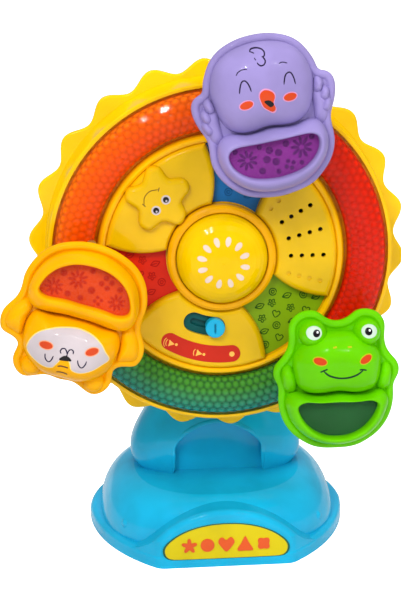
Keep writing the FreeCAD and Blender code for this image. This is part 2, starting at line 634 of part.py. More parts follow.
def make_stand_trim():
    plate = skirt_slab(WALL + PLATE_CLEARANCE, 0.0, PLATE_THICKNESS)
    pockets = [cylinder(FOOT_RADIUS, 0, FOOT_THICKNESS, place) for place in FOOT_PLACES]
    heads = [cylinder(SCREW_HEAD_RADIUS + SCREW_CLEARANCE, 0, SCREW_HEAD_HEIGHT, place)
             for place in BASE_SCREW_PLACES]
    holes = [cylinder(SCREW_SHANK_RADIUS, 0, PLATE_THICKNESS, place) for place in BASE_SCREW_PLACES]
    plate = plate.cut(Part.makeCompound(pockets + heads)).cut(Part.makeCompound(holes))
    save("bottom_plate", plate)
    save("rubber_feet", Part.makeCompound(pockets))
    save("base_screws", Part.makeCompound(
        [screw(0.0, SKIRT_HEIGHT - WALL - SCREW_HEAD_HEIGHT, place) for place in BASE_SCREW_PLACES]))
    dome_screw_low = SKIRT_HEIGHT - WALL - SCREW_HEAD_HEIGHT
    save("dome_screws", Part.makeCompound(
        [screw(dome_screw_low, WALL + SCREW_GRIP, place) for place in DOME_SCREW_PLACES]))
    back = stand_up(screw(0.0, SCREW_GRIP), 0.0, 0.0)
    back.translate(Vector(0, WALL + SCREW_HEAD_HEIGHT, 0))
    screws = []
    for x, z in STEM_SCREW_PLACES:
        piece = back.copy()
        piece.translate(Vector(x, 0, z))
        screws.append(piece)
    save("stem_screws", Part.makeCompound(screws))
    sign = slab(both_sides(SIGN_HALF), SIGN_FRONT - SIGN_THICKNESS, SIGN_FRONT)
    save("sign_plate", stand_up(sign, 0.0, 0.0))


# --- axle -------------------------------------------------------------------------------------
def make_axle():
    pilot = cylinder(SCREW_SHANK_RADIUS, AXLE_FRONT - SCREW_GRIP, AXLE_FRONT)
    save("main_axle", stand_up(cylinder(AXLE_RADIUS, AXLE_BACK, AXLE_FRONT).cut(pilot)))
    bush = tube(BUSH_RADIUS, AXLE_RADIUS + AXLE_FIT, STEM_FACE + END_PLAY, BUSH_FRONT)
    save("wheel_bush", on_wheel(bush))
    cap_top = AXLE_FRONT + AXLE_CAP_THICKNESS
    save("axle_washer", stand_up(tube(AXLE_CAP_RADIUS, SCREW_SHANK_RADIUS, AXLE_FRONT, cap_top)))
    holder = screw(0.0, AXLE_CAP_THICKNESS + SCREW_GRIP)
    holder.rotate(ORIGIN, X_AXIS, 180)
    holder.translate(Vector(0, 0, cap_top + SCREW_HEAD_HEIGHT))
    save("axle_screw", stand_up(holder))


# --- wheel ------------------------------------------------------------------------------------
def scallop_points(inset=0.0):
    """The flange's edge: a wave of so many crests about its mean radius."""
    mean = (TIP_RADIUS + VALLEY_RADIUS) / 2 - inset
    swing = (TIP_RADIUS - VALLEY_RADIUS) / 2
    steps = 6 * SCALLOPS
    points = []
    for step in range(steps):
        angle = SCALLOP_PHASE + 360.0 * step / steps
        wave = math.cos(math.radians(SCALLOPS * (angle - SCALLOP_PHASE)))
        spot = polar(mean + swing * wave, angle)
        points.append((spot.x, spot.y))
    return points


def crown_profile(outer, inner, seat, top, wall):
    """The section of a bulged ring: an arc over it, and the same arc one wall lower."""
    middle, half = (outer + inner) / 2, (outer - inner) / 2
    steps = 12

    def arc(reach, low, high):
        line = []
        for step in range(steps + 1):
            turn = math.pi * step / steps
            line.append((middle + reach * math.cos(turn), low + (high - low) * math.sin(turn) ** 0.6))
        return line

    over = arc(half, seat, top)
    under = arc(half - wall, seat, top - wall)
    return over + list(reversed(under))


def crown(outer, inner, seat, top, wall, centre, half_angle):
    return spun(crown_profile(outer, inner, seat, top, wall), centre - half_angle, 2 * half_angle)


def petal_wire(centre, inset, height):
    """A panel lobe: concentric inner and outer edges and two sides that bow outwards."""
    inner, outer = PETAL_INNER + inset, PETAL_OUTER - inset
    middle = (inner + outer) / 2

    def side(radius, angle, sign):
        lean = math.degrees(inset / radius)
        return polar(radius, centre + sign * (angle - lean), height)

    near = [side(inner, PETAL_INNER_ANGLE, sign) for sign in (-1, 1)]
    far = [side(outer, PETAL_OUTER_ANGLE, sign) for sign in (-1, 1)]
    bulge = [side(middle, PETAL_BULGE_ANGLE, sign) for sign in (-1, 1)]
    edges = [Part.Arc(near[0], polar(inner, centre, height), near[1]).toShape(),
             Part.Arc(near[1], bulge[1], far[1]).toShape(),
             Part.Arc(far[1], polar(outer, centre, height), far[0]).toShape(),
             Part.Arc(far[0], bulge[0], near[0]).toShape()]
    return Part.Wire(edges)


def petal(centre, inset, low, high):
    return Part.Face(petal_wire(centre, inset, low)).extrude(Vector(0, 0, high - low))


def star_points(inset=0.0):
    """A soft five-armed star, one arm towards the hub; each arm's end is a pair of points."""
    centre = polar(STAR_CENTRE_RADIUS, STAR_PETAL)
    points = []
    for arm in range(5):
        towards = STAR_PETAL + 180.0 - 72.0 * arm
        for reach, turn in ((STAR_TIP_RADIUS, 10.2), (STAR_TIP_RADIUS, -10.2), (STAR_VALLEY_RADIUS, -36.0)):
            spot = centre + polar(reach - inset, towards + turn)
            points.append((spot.x, spot.y))
    return points


def speaker_holes(rows, low, high):
    holes = []
    for row in rows:
        for step in range(SPEAKER_HOLES):
            spot = polar(SPEAKER_FIRST_HOLE + SPEAKER_PITCH * step, SPEAKER_PETAL + row)
            holes.append(cylinder(SPEAKER_HOLE_RADIUS, low, high, (spot.x, spot.y)))
    return Part.makeCompound(holes)


def rim_ring():
    """The drum's side with the inner ledge that the windows stand on."""
    ledge = BEAD_INNER - SEAT_WIDTH
    ledge_low = WINDOW_SEAT - SEAT_THICKNESS
    return spun([(RIM_FOOT_RADIUS, -FLANGE_THICKNESS), (RIM_FOOT_RADIUS, 0.0),
                 (RIM_TOP_RADIUS, RIM_HEIGHT - RIM_BEVEL), (RIM_TOP_RADIUS - RIM_BEVEL, RIM_HEIGHT),
                 (BEAD_INNER, RIM_HEIGHT), (BEAD_INNER, WINDOW_SEAT), (ledge, WINDOW_SEAT),
                 (ledge, ledge_low), (RIM_TOP_RADIUS - RIM_WALL, ledge_low - SEAT_THICKNESS),
                 (RIM_FOOT_RADIUS - RIM_WALL, -FLANGE_THICKNESS)])


def panel_disc():
    """The middle disc: a ledge under the windows, a raised bead inside it and a flat floor."""
    ledge = PANEL_EDGE + SEAT_WIDTH
    middle = (PANEL_RADIUS + BEAD_OUTER) / 2
    shoulder = BEAD_TOP - BEAD_ROUND
    brow = BEAD_TOP - BEAD_ROUND / 4
    return spun([(PANEL_HOLE, PANEL_BACK), (ledge, PANEL_BACK - SEAT_THICKNESS), (ledge, WINDOW_SEAT),
                 (PANEL_EDGE, WINDOW_SEAT), (PANEL_EDGE, PANEL_FLOOR), (BEAD_OUTER, shoulder),
                 (BEAD_OUTER - BEAD_ROUND / 2, brow), (middle, BEAD_TOP),
                 (PANEL_RADIUS + BEAD_ROUND / 2, brow), (PANEL_RADIUS, shoulder),
                 (PANEL_RADIUS, PANEL_FLOOR), (PANEL_HOLE, PANEL_FLOOR)])


def bars(radius, low, high, place, angles):
    """Round bars along the wheel's axis, one at each angle."""
    spots = [polar(place, angle) for angle in angles]
    return [cylinder(radius, low, high, (spot.x, spot.y)) for spot in spots]


def make_front_housing():
    flange = slab(scallop_points(), -FLANGE_THICKNESS, 0.0)
    flange = flange.makeFillet(FLANGE_ROUND, edges_at(flange, 0.0))
    flange = flange.cut(cylinder(RIM_FOOT_RADIUS - RIM_WALL, -FLANGE_THICKNESS, 0.0))
    raised = []
    hollows = []
    for centre in PETALS:
        lobe = petal(centre, 0.0, PANEL_BACK, PETAL_TOP)
        raised.append(lobe.makeFillet(PETAL_ROUND, edges_at(lobe, PETAL_TOP)))
        hollows.append(petal(centre, PANEL_WALL, PANEL_BACK - SEAT_THICKNESS, PETAL_INSIDE))
    star = rounded_slab(star_points(), PETAL_INSIDE, STAR_TOP, STAR_ROUND)
    raised.append(star.cut(cylinder(COLLAR_OUTER + COLLAR_CLEARANCE, PETAL_INSIDE, STAR_TOP)))
    hollows.append(slab(star_points(PANEL_WALL), PETAL_INSIDE - STAR_CAVITY_LAP, STAR_TOP - PANEL_WALL))
    for angle in BRIDGE_ANGLES.values():
        raised.append(crown(BEAD_INNER + BRIDGE_LAP, PANEL_EDGE - BRIDGE_LAP, WINDOW_SEAT - SEAT_THICKNESS,
                            WINDOW_CROWN + BRIDGE_PROUD, PANEL_WALL, angle, BRIDGE_HALF_ANGLE))
    bridges = BRIDGE_ANGLES.values()
    raised += bars(PIVOT_BOSS_RADIUS, PIVOT_FOOT, PIVOT_BOSS_TOP, POD_PLACE, bridges)
    bosses = bars(BOSS_RADIUS, -FLANGE_THICKNESS, PANEL_BACK, WHEEL_SCREW_PLACE, WHEEL_SCREW_ANGLES)
    bosses += bars(BOSS_RADIUS, BOARD_FRONT, PANEL_BACK, BOARD_POST_PLACE, bridges)
    holes = bars(PIVOT_RADIUS, PIVOT_FOOT, PIVOT_BOSS_TOP, POD_PLACE, bridges)
    holes += bars(SCREW_SHANK_RADIUS, -FLANGE_THICKNESS, SCREW_GRIP, WHEEL_SCREW_PLACE, WHEEL_SCREW_ANGLES)
    holes += bars(SCREW_SHANK_RADIUS, BOARD_FRONT, BOARD_FRONT + BOARD_SCREW_GRIP, BOARD_POST_PLACE, bridges)
    body = fused([flange, rim_ring(), panel_disc()] + raised)
    body = body.cut(Part.makeCompound(hollows))
    body = fused([body] + bosses).cut(Part.makeCompound(holes))
    body = body.cut(speaker_holes(SPEAKER_ROWS[1:-1], PANEL_BACK, PETAL_TOP))
    dimples = [SPEAKER_ROWS[0], SPEAKER_ROWS[-1]]
    body = body.cut(speaker_holes(dimples, PETAL_TOP - DIMPLE_DEPTH, PETAL_TOP))
    body = body.cut(arc_slot(SWITCH_RADIUS, SWITCH_HALF_TRAVEL, SWITCH_SLOT_WIDTH,
                             PANEL_BACK, PETAL_TOP, SWITCH_PETAL))
    save("wheel_front_housing", on_wheel(body))


def make_windows():
    half_angle = 180.0 / len(WINDOW_ANGLES) - BRIDGE_HALF_ANGLE - BRIDGE_GAP
    under = WINDOW_WALL + REFLECTOR_GAP
    for name, angle in WINDOW_ANGLES.items():
        cover = crown(WINDOW_OUTER, WINDOW_INNER, WINDOW_SEAT, WINDOW_CROWN, WINDOW_WALL, angle, half_angle)
        save("window_" + name, on_wheel(cover))
        lining = crown(WINDOW_OUTER - under, WINDOW_INNER + under, WINDOW_SEAT,
                       WINDOW_CROWN - under, REFLECTOR_WALL, angle, half_angle)
        save("reflector_" + name, on_wheel(lining))
    for name, angle in FILM_ANGLES.items():
        film = sector(COLLAR_OUTER + FILM_MARGIN, PANEL_RADIUS - FILM_MARGIN, FILM_HALF_ANGLE,
                      PANEL_FLOOR, PANEL_FLOOR + FILM_THICKNESS, angle)
        lobes = [petal(centre, -FILM_MARGIN / 2, PANEL_FLOOR, PETAL_TOP) for centre in PETALS]
        save("film_" + name, on_wheel(film.cut(Part.makeCompound(lobes))))


def dome_line(radius, foot, height):
    """A quarter of an ellipse from the rim of a cap to its top."""
    steps = 10
    line = []
    for step in range(steps + 1):
        turn = 0.5 * math.pi * step / steps
        line.append((radius * math.cos(turn), foot + height * math.sin(turn)))
    return line


def make_hub_button():
    mouth = COLLAR_TOP - COLLAR_LIP
    skirt_inner = BUTTON_FLANGE_RADIUS + BUTTON_CLEARANCE
    collar = spun([(skirt_inner, PANEL_FLOOR), (COLLAR_OUTER, PANEL_FLOOR),
                   (COLLAR_OUTER, COLLAR_TOP - COLLAR_ROUND),
                   (COLLAR_OUTER - COLLAR_ROUND / 3, COLLAR_TOP - COLLAR_ROUND / 3),
                   (COLLAR_OUTER - COLLAR_ROUND, COLLAR_TOP), (COLLAR_INNER + COLLAR_BEVEL, COLLAR_TOP),
                   (COLLAR_INNER, COLLAR_TOP - COLLAR_BEVEL), (COLLAR_INNER, mouth), (skirt_inner, mouth)])
    save("hub_collar", on_wheel(collar))
    rise = BUTTON_TOP - BUTTON_EDGE
    inner = BUTTON_RADIUS - BUTTON_WALL
    shell = spun([(inner, PANEL_FLOOR), (BUTTON_FLANGE_RADIUS, PANEL_FLOOR),
                  (BUTTON_FLANGE_RADIUS, BUTTON_FLANGE_TOP), (BUTTON_RADIUS, BUTTON_FLANGE_TOP)]
                 + dome_line(BUTTON_RADIUS, BUTTON_EDGE, rise)
                 + dome_line(inner, BUTTON_EDGE, rise - BUTTON_WALL)[::-1])
    plunger = cylinder(BUTTON_STEM_RADIUS, BUTTON_STEM_FOOT, BUTTON_TOP - BUTTON_WALL / 2)
    save("hub_button", on_wheel(fused([shell, plunger])))
    pad = tube(BUTTON_STEM_RADIUS, BUTTON_STEM_RADIUS - PAD_WALL, BOARD_FRONT, BUTTON_STEM_FOOT)
    save("hub_button_pad", on_wheel(pad))


def make_switch():
    spot = polar(SWITCH_RADIUS, SWITCH_PETAL + SWITCH_HALF_TRAVEL)
    centre = (spot.x, spot.y)
    head = cylinder(KNOB_RADIUS, KNOB_FOOT, KNOB_TOP, centre)
    head = head.makeFillet(KNOB_ROUND, edges_at(head, KNOB_TOP))
    stem_bar = cylinder(KNOB_STEM_RADIUS, KNOB_STEM_FOOT, KNOB_FOOT, centre)
    keeper = cylinder(KNOB_KEEPER_RADIUS, KNOB_KEEPER_TOP - KNOB_KEEPER_THICKNESS, KNOB_KEEPER_TOP, centre)
    mark = block((centre[0] - KNOB_MARK_WIDTH / 2, centre[0] + KNOB_MARK_WIDTH / 2),
                 (centre[1] - KNOB_MARK / 2, centre[1] + KNOB_MARK / 2),
                 (KNOB_TOP - KNOB_MARK_DEPTH, KNOB_TOP))
    mark.rotate(Vector(*centre, 0), Z_AXIS, -WHEEL_TURN)
    save("switch_knob", on_wheel(fused([head, stem_bar, keeper]).cut(mark)))
    low = PETAL_INSIDE - SWITCH_PLATE_WALL
    plate = sector(SWITCH_RADIUS - SWITCH_PLATE_IN, SWITCH_RADIUS + SWITCH_PLATE_OUT,
                   SWITCH_HALF_TRAVEL + SWITCH_PLATE_MARGIN, low, PETAL_INSIDE, SWITCH_PETAL)
    way = arc_slot(SWITCH_RADIUS, SWITCH_HALF_TRAVEL, 2 * (KNOB_STEM_RADIUS + KNOB_CLEARANCE),
                   low, PETAL_INSIDE, SWITCH_PETAL)
    save("switch_plate", on_wheel(plate.cut(way)))
    label = arc_slot(LABEL_RADIUS, LABEL_HALF_ANGLE, LABEL_WIDTH, PETAL_TOP, PETAL_TOP + LABEL_THICKNESS,
                     SWITCH_PETAL + LABEL_OFFSET)
    save("volume_label", on_wheel(label))


def make_rear_housing():
    step = BACK_ROUND * (1 - math.sqrt(0.5))
    lip_low = -FLANGE_THICKNESS - BACK_WALL
    boss_radius = BUSH_RADIUS + HUB_BOSS_WALL
    boss_top = BACK_INSIDE + HUB_BOSS_HEIGHT
    cup = spun([(BUSH_RADIUS, BACK_FLOOR), (BACK_RADIUS - BACK_ROUND, BACK_FLOOR),
                (BACK_RADIUS - step, BACK_FLOOR + step), (BACK_RADIUS, BACK_FLOOR + BACK_ROUND),
                (BACK_RADIUS, lip_low), (BACK_RIM_RADIUS, lip_low), (BACK_RIM_RADIUS, -FLANGE_THICKNESS),
                (BACK_RADIUS - BACK_WALL, -FLANGE_THICKNESS),
                (BACK_RADIUS - BACK_WALL, BACK_FLOOR + BACK_ROUND),
                (BACK_RADIUS - BACK_ROUND, BACK_INSIDE), (boss_radius, BACK_INSIDE),
                (boss_radius, boss_top), (BUSH_RADIUS, boss_top)])
    posts = bars(BOSS_RADIUS + WHEEL_POST_WALL, BACK_FLOOR, -FLANGE_THICKNESS,
                 WHEEL_SCREW_PLACE, WHEEL_SCREW_ANGLES)
    ways = bars(SCREW_SHANK_RADIUS, BACK_FLOOR, -FLANGE_THICKNESS, WHEEL_SCREW_PLACE, WHEEL_SCREW_ANGLES)
    sinks = bars(SCREW_HEAD_RADIUS + SCREW_CLEARANCE, BACK_FLOOR, -FLANGE_THICKNESS - WALL,
                 WHEEL_SCREW_PLACE, WHEEL_SCREW_ANGLES)
    half_x, half_y = bay_half_x(), bay_half_y()
    outer_x, outer_y = half_x + BAY_WALL, half_y + BAY_WALL
    room_top = CELL_LEVEL + CELL_RADIUS + BAY_WALL
    box = block((-outer_x, outer_x), (CELL_PLACE - outer_y, CELL_PLACE + outer_y),
                (BACK_FLOOR, room_top + BAY_WALL))
    room = block((-half_x, half_x), (CELL_PLACE - half_y, CELL_PLACE + half_y), (BACK_FLOOR, room_top))
    recess = door_slab(0.0, BACK_FLOOR, BACK_FLOOR + BAY_WALL)
    body = fused([cup, box] + posts).cut(room).cut(recess)
    body = body.cut(Part.makeCompound(ways)).cut(Part.makeCompound(sinks))
    save("wheel_rear_housing", on_wheel(body.cut(door_screw_hole())))


def bay_half_x():
    return CELL_LENGTH / 2 + BAY_END


def bay_half_y():
    return CELLS * CELL_PITCH / 2 + BAY_SIDE


def door_slab(gap, low, high):
    """The battery door's plate with the tab that takes its screw."""
    reach_x = bay_half_x() + DOOR_MARGIN - gap
    reach_y = bay_half_y() + DOOR_MARGIN - gap
    plate = block((-reach_x, reach_x), (CELL_PLACE - reach_y, CELL_PLACE + reach_y), (low, high))
    tab_foot = CELL_PLACE - reach_y - DOOR_TAB + 2 * gap
    tab = block((-DOOR_TAB + gap, DOOR_TAB - gap), (tab_foot, CELL_PLACE), (low, high))
    return fused([plate, tab])


def door_screw_centre():
    return (0.0, CELL_PLACE - bay_half_y() - DOOR_MARGIN - DOOR_SCREW_PLACE)


def door_screw_hole():
    return cylinder(SCREW_SHANK_RADIUS, BACK_FLOOR, BACK_INSIDE + BACK_WALL, door_screw_centre())


def make_batteries():
    door = door_slab(DOOR_FIT, BACK_FLOOR, BACK_FLOOR + BAY_WALL - DOOR_GAP)
    save("battery_door", on_wheel(door.cut(door_screw_hole())))
    holder = screw(BACK_FLOOR - SCREW_HEAD_HEIGHT, 2 * BACK_WALL, door_screw_centre())
    save("battery_door_screw", on_wheel(holder))
    cells = []
    contacts = []
    wall = bay_half_x()
    for index in range(CELLS):
        y = CELL_PLACE + CELL_PITCH * (index - (CELLS - 1) / 2)
        start = Vector(-CELL_LENGTH / 2, y, CELL_LEVEL)
        cells.append(Part.makeCylinder(CELL_RADIUS, CELL_LENGTH, start, X_AXIS))
        for side in (-1, 1):
            leaf = block(sorted((side * (wall - CONTACT_THICKNESS), side * wall)),
                         (y - CONTACT_HALF, y + CONTACT_HALF),
                         (CELL_LEVEL - CONTACT_HALF, CELL_LEVEL + CONTACT_HALF))
            nub = Part.makeCylinder(CONTACT_NUB_RADIUS, wall - CELL_LENGTH / 2,
                                    Vector(side * CELL_LENGTH / 2, y, CELL_LEVEL), X_AXIS * side)
            contacts.append(leaf.fuse(nub))
    save("battery_cells", on_wheel(Part.makeCompound(cells)))
    save("battery_contacts", on_wheel(Part.makeCompound(contacts)))


def make_electronics():
    bridges = BRIDGE_ANGLES.values()
    board = tube(BOARD_OUTER, BOARD_INNER, BOARD_BACK, BOARD_FRONT)
    holes = bars(SCREW_SHANK_RADIUS, BOARD_BACK, BOARD_FRONT, BOARD_POST_PLACE, bridges)
    save("circuit_board", on_wheel(board.cut(Part.makeCompound(holes))))
    spots = [polar(BOARD_POST_PLACE, angle) for angle in bridges]
    screws = [screw(BOARD_BACK - SCREW_HEAD_HEIGHT, BOARD_THICKNESS + BOARD_SCREW_GRIP, (spot.x, spot.y))
              for spot in spots]
    save("board_screws", on_wheel(Part.makeCompound(screws)))
    rim_low = PETAL_INSIDE - SPEAKER_RIM
    cone_low = PETAL_INSIDE - SPEAKER_CONE_DEPTH
    cone = spun([(0, PETAL_INSIDE - SPEAKER_DEPTH), (SPEAKER_MAGNET_RADIUS, PETAL_INSIDE - SPEAKER_DEPTH),
                 (SPEAKER_RADIUS, rim_low), (SPEAKER_RADIUS, PETAL_INSIDE),
                 (SPEAKER_RADIUS - SPEAKER_RIM, PETAL_INSIDE), (SPEAKER_MAGNET_RADIUS / 2, cone_low),
                 (0, cone_low)])
    cone.translate(polar(SPEAKER_PLACE, SPEAKER_PETAL))
    save("speaker", on_wheel(cone))
    leds = []
    for angle in LED_ANGLES:
        place = polar(LED_PLACE, angle)
        shoulder = BOARD_FRONT + LED_HEIGHT - LED_RADIUS
        body = cylinder(LED_RADIUS, BOARD_FRONT, shoulder, (place.x, place.y))
        leds.append(body.fuse(Part.makeSphere(LED_RADIUS, Vector(place.x, place.y, shoulder))))
    save("leds", on_wheel(Part.makeCompound(leds)))


def make_wheel_screws():
    low = -FLANGE_THICKNESS - WALL - SCREW_HEAD_HEIGHT
    spots = [polar(WHEEL_SCREW_PLACE, angle) for angle in WHEEL_SCREW_ANGLES]
    screws = [screw(low, WALL + SCREW_GRIP, (spot.x, spot.y)) for spot in spots]
    save("wheel_screws", on_wheel(Part.makeCompound(screws)))


# --- gondolas ---------------------------------------------------------------------------------
def porthole(half_width, top, bottom):
    """The window's outline: a straight top with small corners over half an oval."""
    corner = top - PORTHOLE_SHOULDER
    deep = corner - bottom
    half = [(0, top), (0.45 * half_width, top), (0.80 * half_width, top), (0.95 * half_width, top - 0.9)]
    for step in range(5):
        turn = math.radians(22.5 * step)
        half.append((half_width * math.cos(turn), corner - deep * math.sin(turn)))
    half[-1] = (0, bottom)
    return both_sides(half)


def limb(start, end, radius, top):
    """A raised capsule with a rounded crest, from inside the rim up to its top."""
    low = POD_RIM - LIMB_DEPTH
    crest = top - radius
    reach = math.hypot(end[0] - start[0], end[1] - start[1])
    direction = Vector(end[0] - start[0], end[1] - start[1], 0)
    pieces = [Part.makeCylinder(radius, reach, Vector(start[0], start[1], crest), direction)]
    for x, y in (start, end):
        pieces.append(Part.makeSphere(radius, Vector(x, y, crest)))
        pieces.append(cylinder(radius, low, crest, (x, y)))
    side = Vector(-direction.y, direction.x, 0).multiply(radius / reach)
    first, last = Vector(start[0], start[1], low), Vector(end[0], end[1], low)
    strip = Part.makePolygon([first + side, last + side, last - side, first - side, first + side])
    pieces.append(Part.Face(strip).extrude(Vector(0, 0, crest - low)))
    return fused(pieces)


def pod_screw_places(pod):
    x, y = pod["head_screw"]
    return [(-x, y), (x, y), (0.0, pod["foot_screw"])]


def pod_relief(pod):
    """Everything that stands up on a gondola's face, as one solid."""
    low = POD_RIM - RELIEF_DEPTH
    raised = [rounded_slab(both_sides(pod["body"]), POD_PARTING, POD_RIM, POD_RIM_ROUND),
              rounded_slab(both_sides(pod["head"]), low, HEAD_TOP, HEAD_ROUND),
              rounded_slab(both_sides(pod["frame"]), low, FRAME_TOP, FRAME_ROUND)]
    for side in (1, -1):
        for start, end, radius in pod["limbs"]:
            raised.append(limb((side * start[0], start[1]), (side * end[0], end[1]), radius, LIMB_TOP))
        for x, y, radius in pod["bumps"]:
            bump = cylinder(radius, low, FRAME_TOP, (side * x, y))
            raised.append(bump.makeFillet(BUMP_ROUND_SHARE * radius, edges_at(bump, FRAME_TOP)))
    return fused(raised)


def make_pod(name):
    pod = PODS[name]
    body = both_sides(pod["body"])
    inside = grown(body, -POD_WALL)
    places = pod_screw_places(pod)
    rear = slab(body, POD_BACK, POD_PARTING)
    rear = rear.makeFillet(POD_BACK_ROUND, edges_at(rear, POD_BACK))
    rear = rear.cut(slab(inside, POD_INSIDE, POD_PARTING))
    sleeve = cylinder(PIVOT_SLEEVE_RADIUS, POD_BACK, PIVOT_SLEEVE_TOP)
    posts = [cylinder(BOSS_RADIUS, POD_BACK, POD_PARTING, place) for place in places]
    ways = [cylinder(SCREW_SHANK_RADIUS, POD_BACK, POD_PARTING, place) for place in places]
    sinks = [cylinder(SCREW_HEAD_RADIUS + SCREW_CLEARANCE, POD_BACK, POD_PARTING - POD_WALL, place)
             for place in places]
    rear = fused([rear, sleeve] + posts).cut(cylinder(PIVOT_RADIUS + PIVOT_FIT, POD_BACK, POD_PARTING))
    rear = rear.cut(Part.makeCompound(ways)).cut(Part.makeCompound(sinks))
    save(name + "_rear_shell", on_pod(rear, name))

    hollow = [slab(inside, POD_PARTING, POD_RIM - POD_WALL),
              slab(grown(both_sides(pod["head"]), -HEAD_WALL), POD_PARTING, HEAD_TOP - HEAD_ROOF),
              slab(grown(both_sides(pod["frame"]), -POD_WALL), POD_PARTING, FRAME_TOP - POD_WALL)]
    front = pod_relief(pod).cut(fused(hollow))
    head_boss_top = HEAD_TOP - HEAD_ROOF / 2
    tops = [head_boss_top, head_boss_top, POD_RIM - POD_WALL / 2]
    bosses = [cylinder(BOSS_RADIUS, POD_PARTING, top, place) for place, top in zip(places, tops)]
    taps = [cylinder(SCREW_SHANK_RADIUS, POD_PARTING, POD_PARTING + SCREW_GRIP - POD_WALL, place)
            for place in places]
    opening = porthole(*pod["porthole"])
    front = fused([front] + bosses).cut(Part.makeCompound(taps)).cut(slab(opening, POD_PARTING, FRAME_TOP))
    save(name + "_front_shell", on_pod(front, name))

    lap = grown(opening, WINDOW_LAP)
    glass_low = FRAME_TOP - POD_WALL - POD_WINDOW_WALL
    save(name + "_window", on_pod(slab(lap, glass_low, FRAME_TOP - POD_WALL), name))
    save(name + "_window_card", on_pod(slab(lap, glass_low - CARD_THICKNESS, glass_low), name))
    screws = [screw(POD_PARTING - POD_WALL - SCREW_HEAD_HEIGHT, SCREW_GRIP, place) for place in places]
    save(name + "_screws", on_pod(Part.makeCompound(screws), name))


def make_pivots():
    """The pins that carry the gondolas: foot in the wheel, collar behind the gondola, cap inside it."""
    pins, caps, screws = [], [], []
    cap_top = PIVOT_TOP + PIVOT_CAP_THICKNESS
    for angle in BRIDGE_ANGLES.values():
        spot = polar(POD_PLACE, angle)
        centre = (spot.x, spot.y)
        shank = cylinder(PIVOT_RADIUS, PIVOT_FOOT, PIVOT_TOP, centre)
        collar = cylinder(PIVOT_COLLAR_RADIUS, PIVOT_BOSS_TOP, POD_BACK - END_PLAY, centre)
        tap = cylinder(SCREW_SHANK_RADIUS, PIVOT_TOP - SCREW_GRIP, PIVOT_TOP, centre)
        pins.append(shank.fuse(collar).cut(tap))
        caps.append(tube(PIVOT_SLEEVE_RADIUS, SCREW_SHANK_RADIUS, PIVOT_TOP, cap_top, centre))
        holder = screw(0.0, PIVOT_CAP_THICKNESS + SCREW_GRIP)
        holder.rotate(ORIGIN, X_AXIS, 180)
        holder.translate(Vector(spot.x, spot.y, cap_top + SCREW_HEAD_HEIGHT))
        screws.append(holder)
    save("pivot_pins", on_wheel(Part.makeCompound(pins)))
    save("pivot_washers", on_wheel(Part.makeCompound(caps)))
    save("pivot_screws", on_wheel(Part.makeCompound(screws)))


make_stand_shells()
make_skirt()
make_stand_trim()
make_axle()
make_front_housing()
make_windows()
make_hub_button()
make_switch()
make_rear_housing()
make_batteries()
make_electronics()
make_wheel_screws()
make_pivots()
for pod_name in PODS:
    make_pod(pod_name)
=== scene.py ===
"""The looks of a table-top toy ferris wheel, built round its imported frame.

A blue stand carries a yellow light-and-sound wheel with three animal gondolas. Everything on
the wheel is drawn flat first, in millimetres: x to the right, y up and z towards the onlooker,
with z = 0 at the front of the scalloped flange. A Seat then turns a drawing and stands it up.
"""

import json
import logging
import math
from collections.abc import Callable
from dataclasses import dataclass, field
from enum import Enum

import bpy
import numpy as np
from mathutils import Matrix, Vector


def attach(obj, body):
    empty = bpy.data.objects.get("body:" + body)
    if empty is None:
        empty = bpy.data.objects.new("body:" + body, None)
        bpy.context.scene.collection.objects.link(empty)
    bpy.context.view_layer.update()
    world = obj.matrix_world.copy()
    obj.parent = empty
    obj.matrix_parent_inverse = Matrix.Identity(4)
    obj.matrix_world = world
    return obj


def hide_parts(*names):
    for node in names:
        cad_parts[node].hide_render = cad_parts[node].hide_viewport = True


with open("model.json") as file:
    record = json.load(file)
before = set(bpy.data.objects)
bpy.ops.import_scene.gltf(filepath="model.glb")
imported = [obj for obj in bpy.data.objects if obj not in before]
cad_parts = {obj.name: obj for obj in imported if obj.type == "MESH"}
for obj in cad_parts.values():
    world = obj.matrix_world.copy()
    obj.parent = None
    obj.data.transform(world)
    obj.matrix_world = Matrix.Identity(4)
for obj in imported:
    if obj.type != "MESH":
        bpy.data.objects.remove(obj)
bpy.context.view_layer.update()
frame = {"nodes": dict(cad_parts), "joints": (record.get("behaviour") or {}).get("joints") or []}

Colour = tuple[float, float, float]
Pair = tuple[float, float]
Socket = bpy.types.NodeSocket
Ground = Callable[[np.ndarray], np.ndarray]
LOG = logging.getLogger("ferris_wheel")
MM = 0.001
JOINT_PLACES = {joint["child"]: joint.get("pos_m") for joint in frame["joints"]}
HUB = np.array(JOINT_PLACES["wheel"])
WHEEL_TURN = -15.0  # how far the wheel is turned at rest, in degrees
SHARP_ANGLE = 38.0  # edges sharper than this stay crisp, in degrees
AROUND = 168  # points round an outline
RING_SPAN = 100.0  # the radius that counts as 1 in a ringed finish, in millimetres
CLOUD_SCALE, SKIN_SCALE = 38.0, 900.0  # clouds of colour and grains of skin to a metre
CLOUD_DARK, CLOUD_LIGHT = 0.35, 0.62  # where a cloud is darkest and where it is gone
TONE_FROM, TONE_TO = 0.3, 0.9  # where a lining's two tones end, across its ring
SKIN_POLISH, SKIN_WEAR = 0.8, 1.25  # the least and most roughness, as shares of a finish's own
COAT_ROUGHNESS = 0.05
PURE_WHITE = (255.0, 255.0, 255.0)
FULL_CIRCLE = 2 * math.pi
QUARTER = 0.5 * math.pi


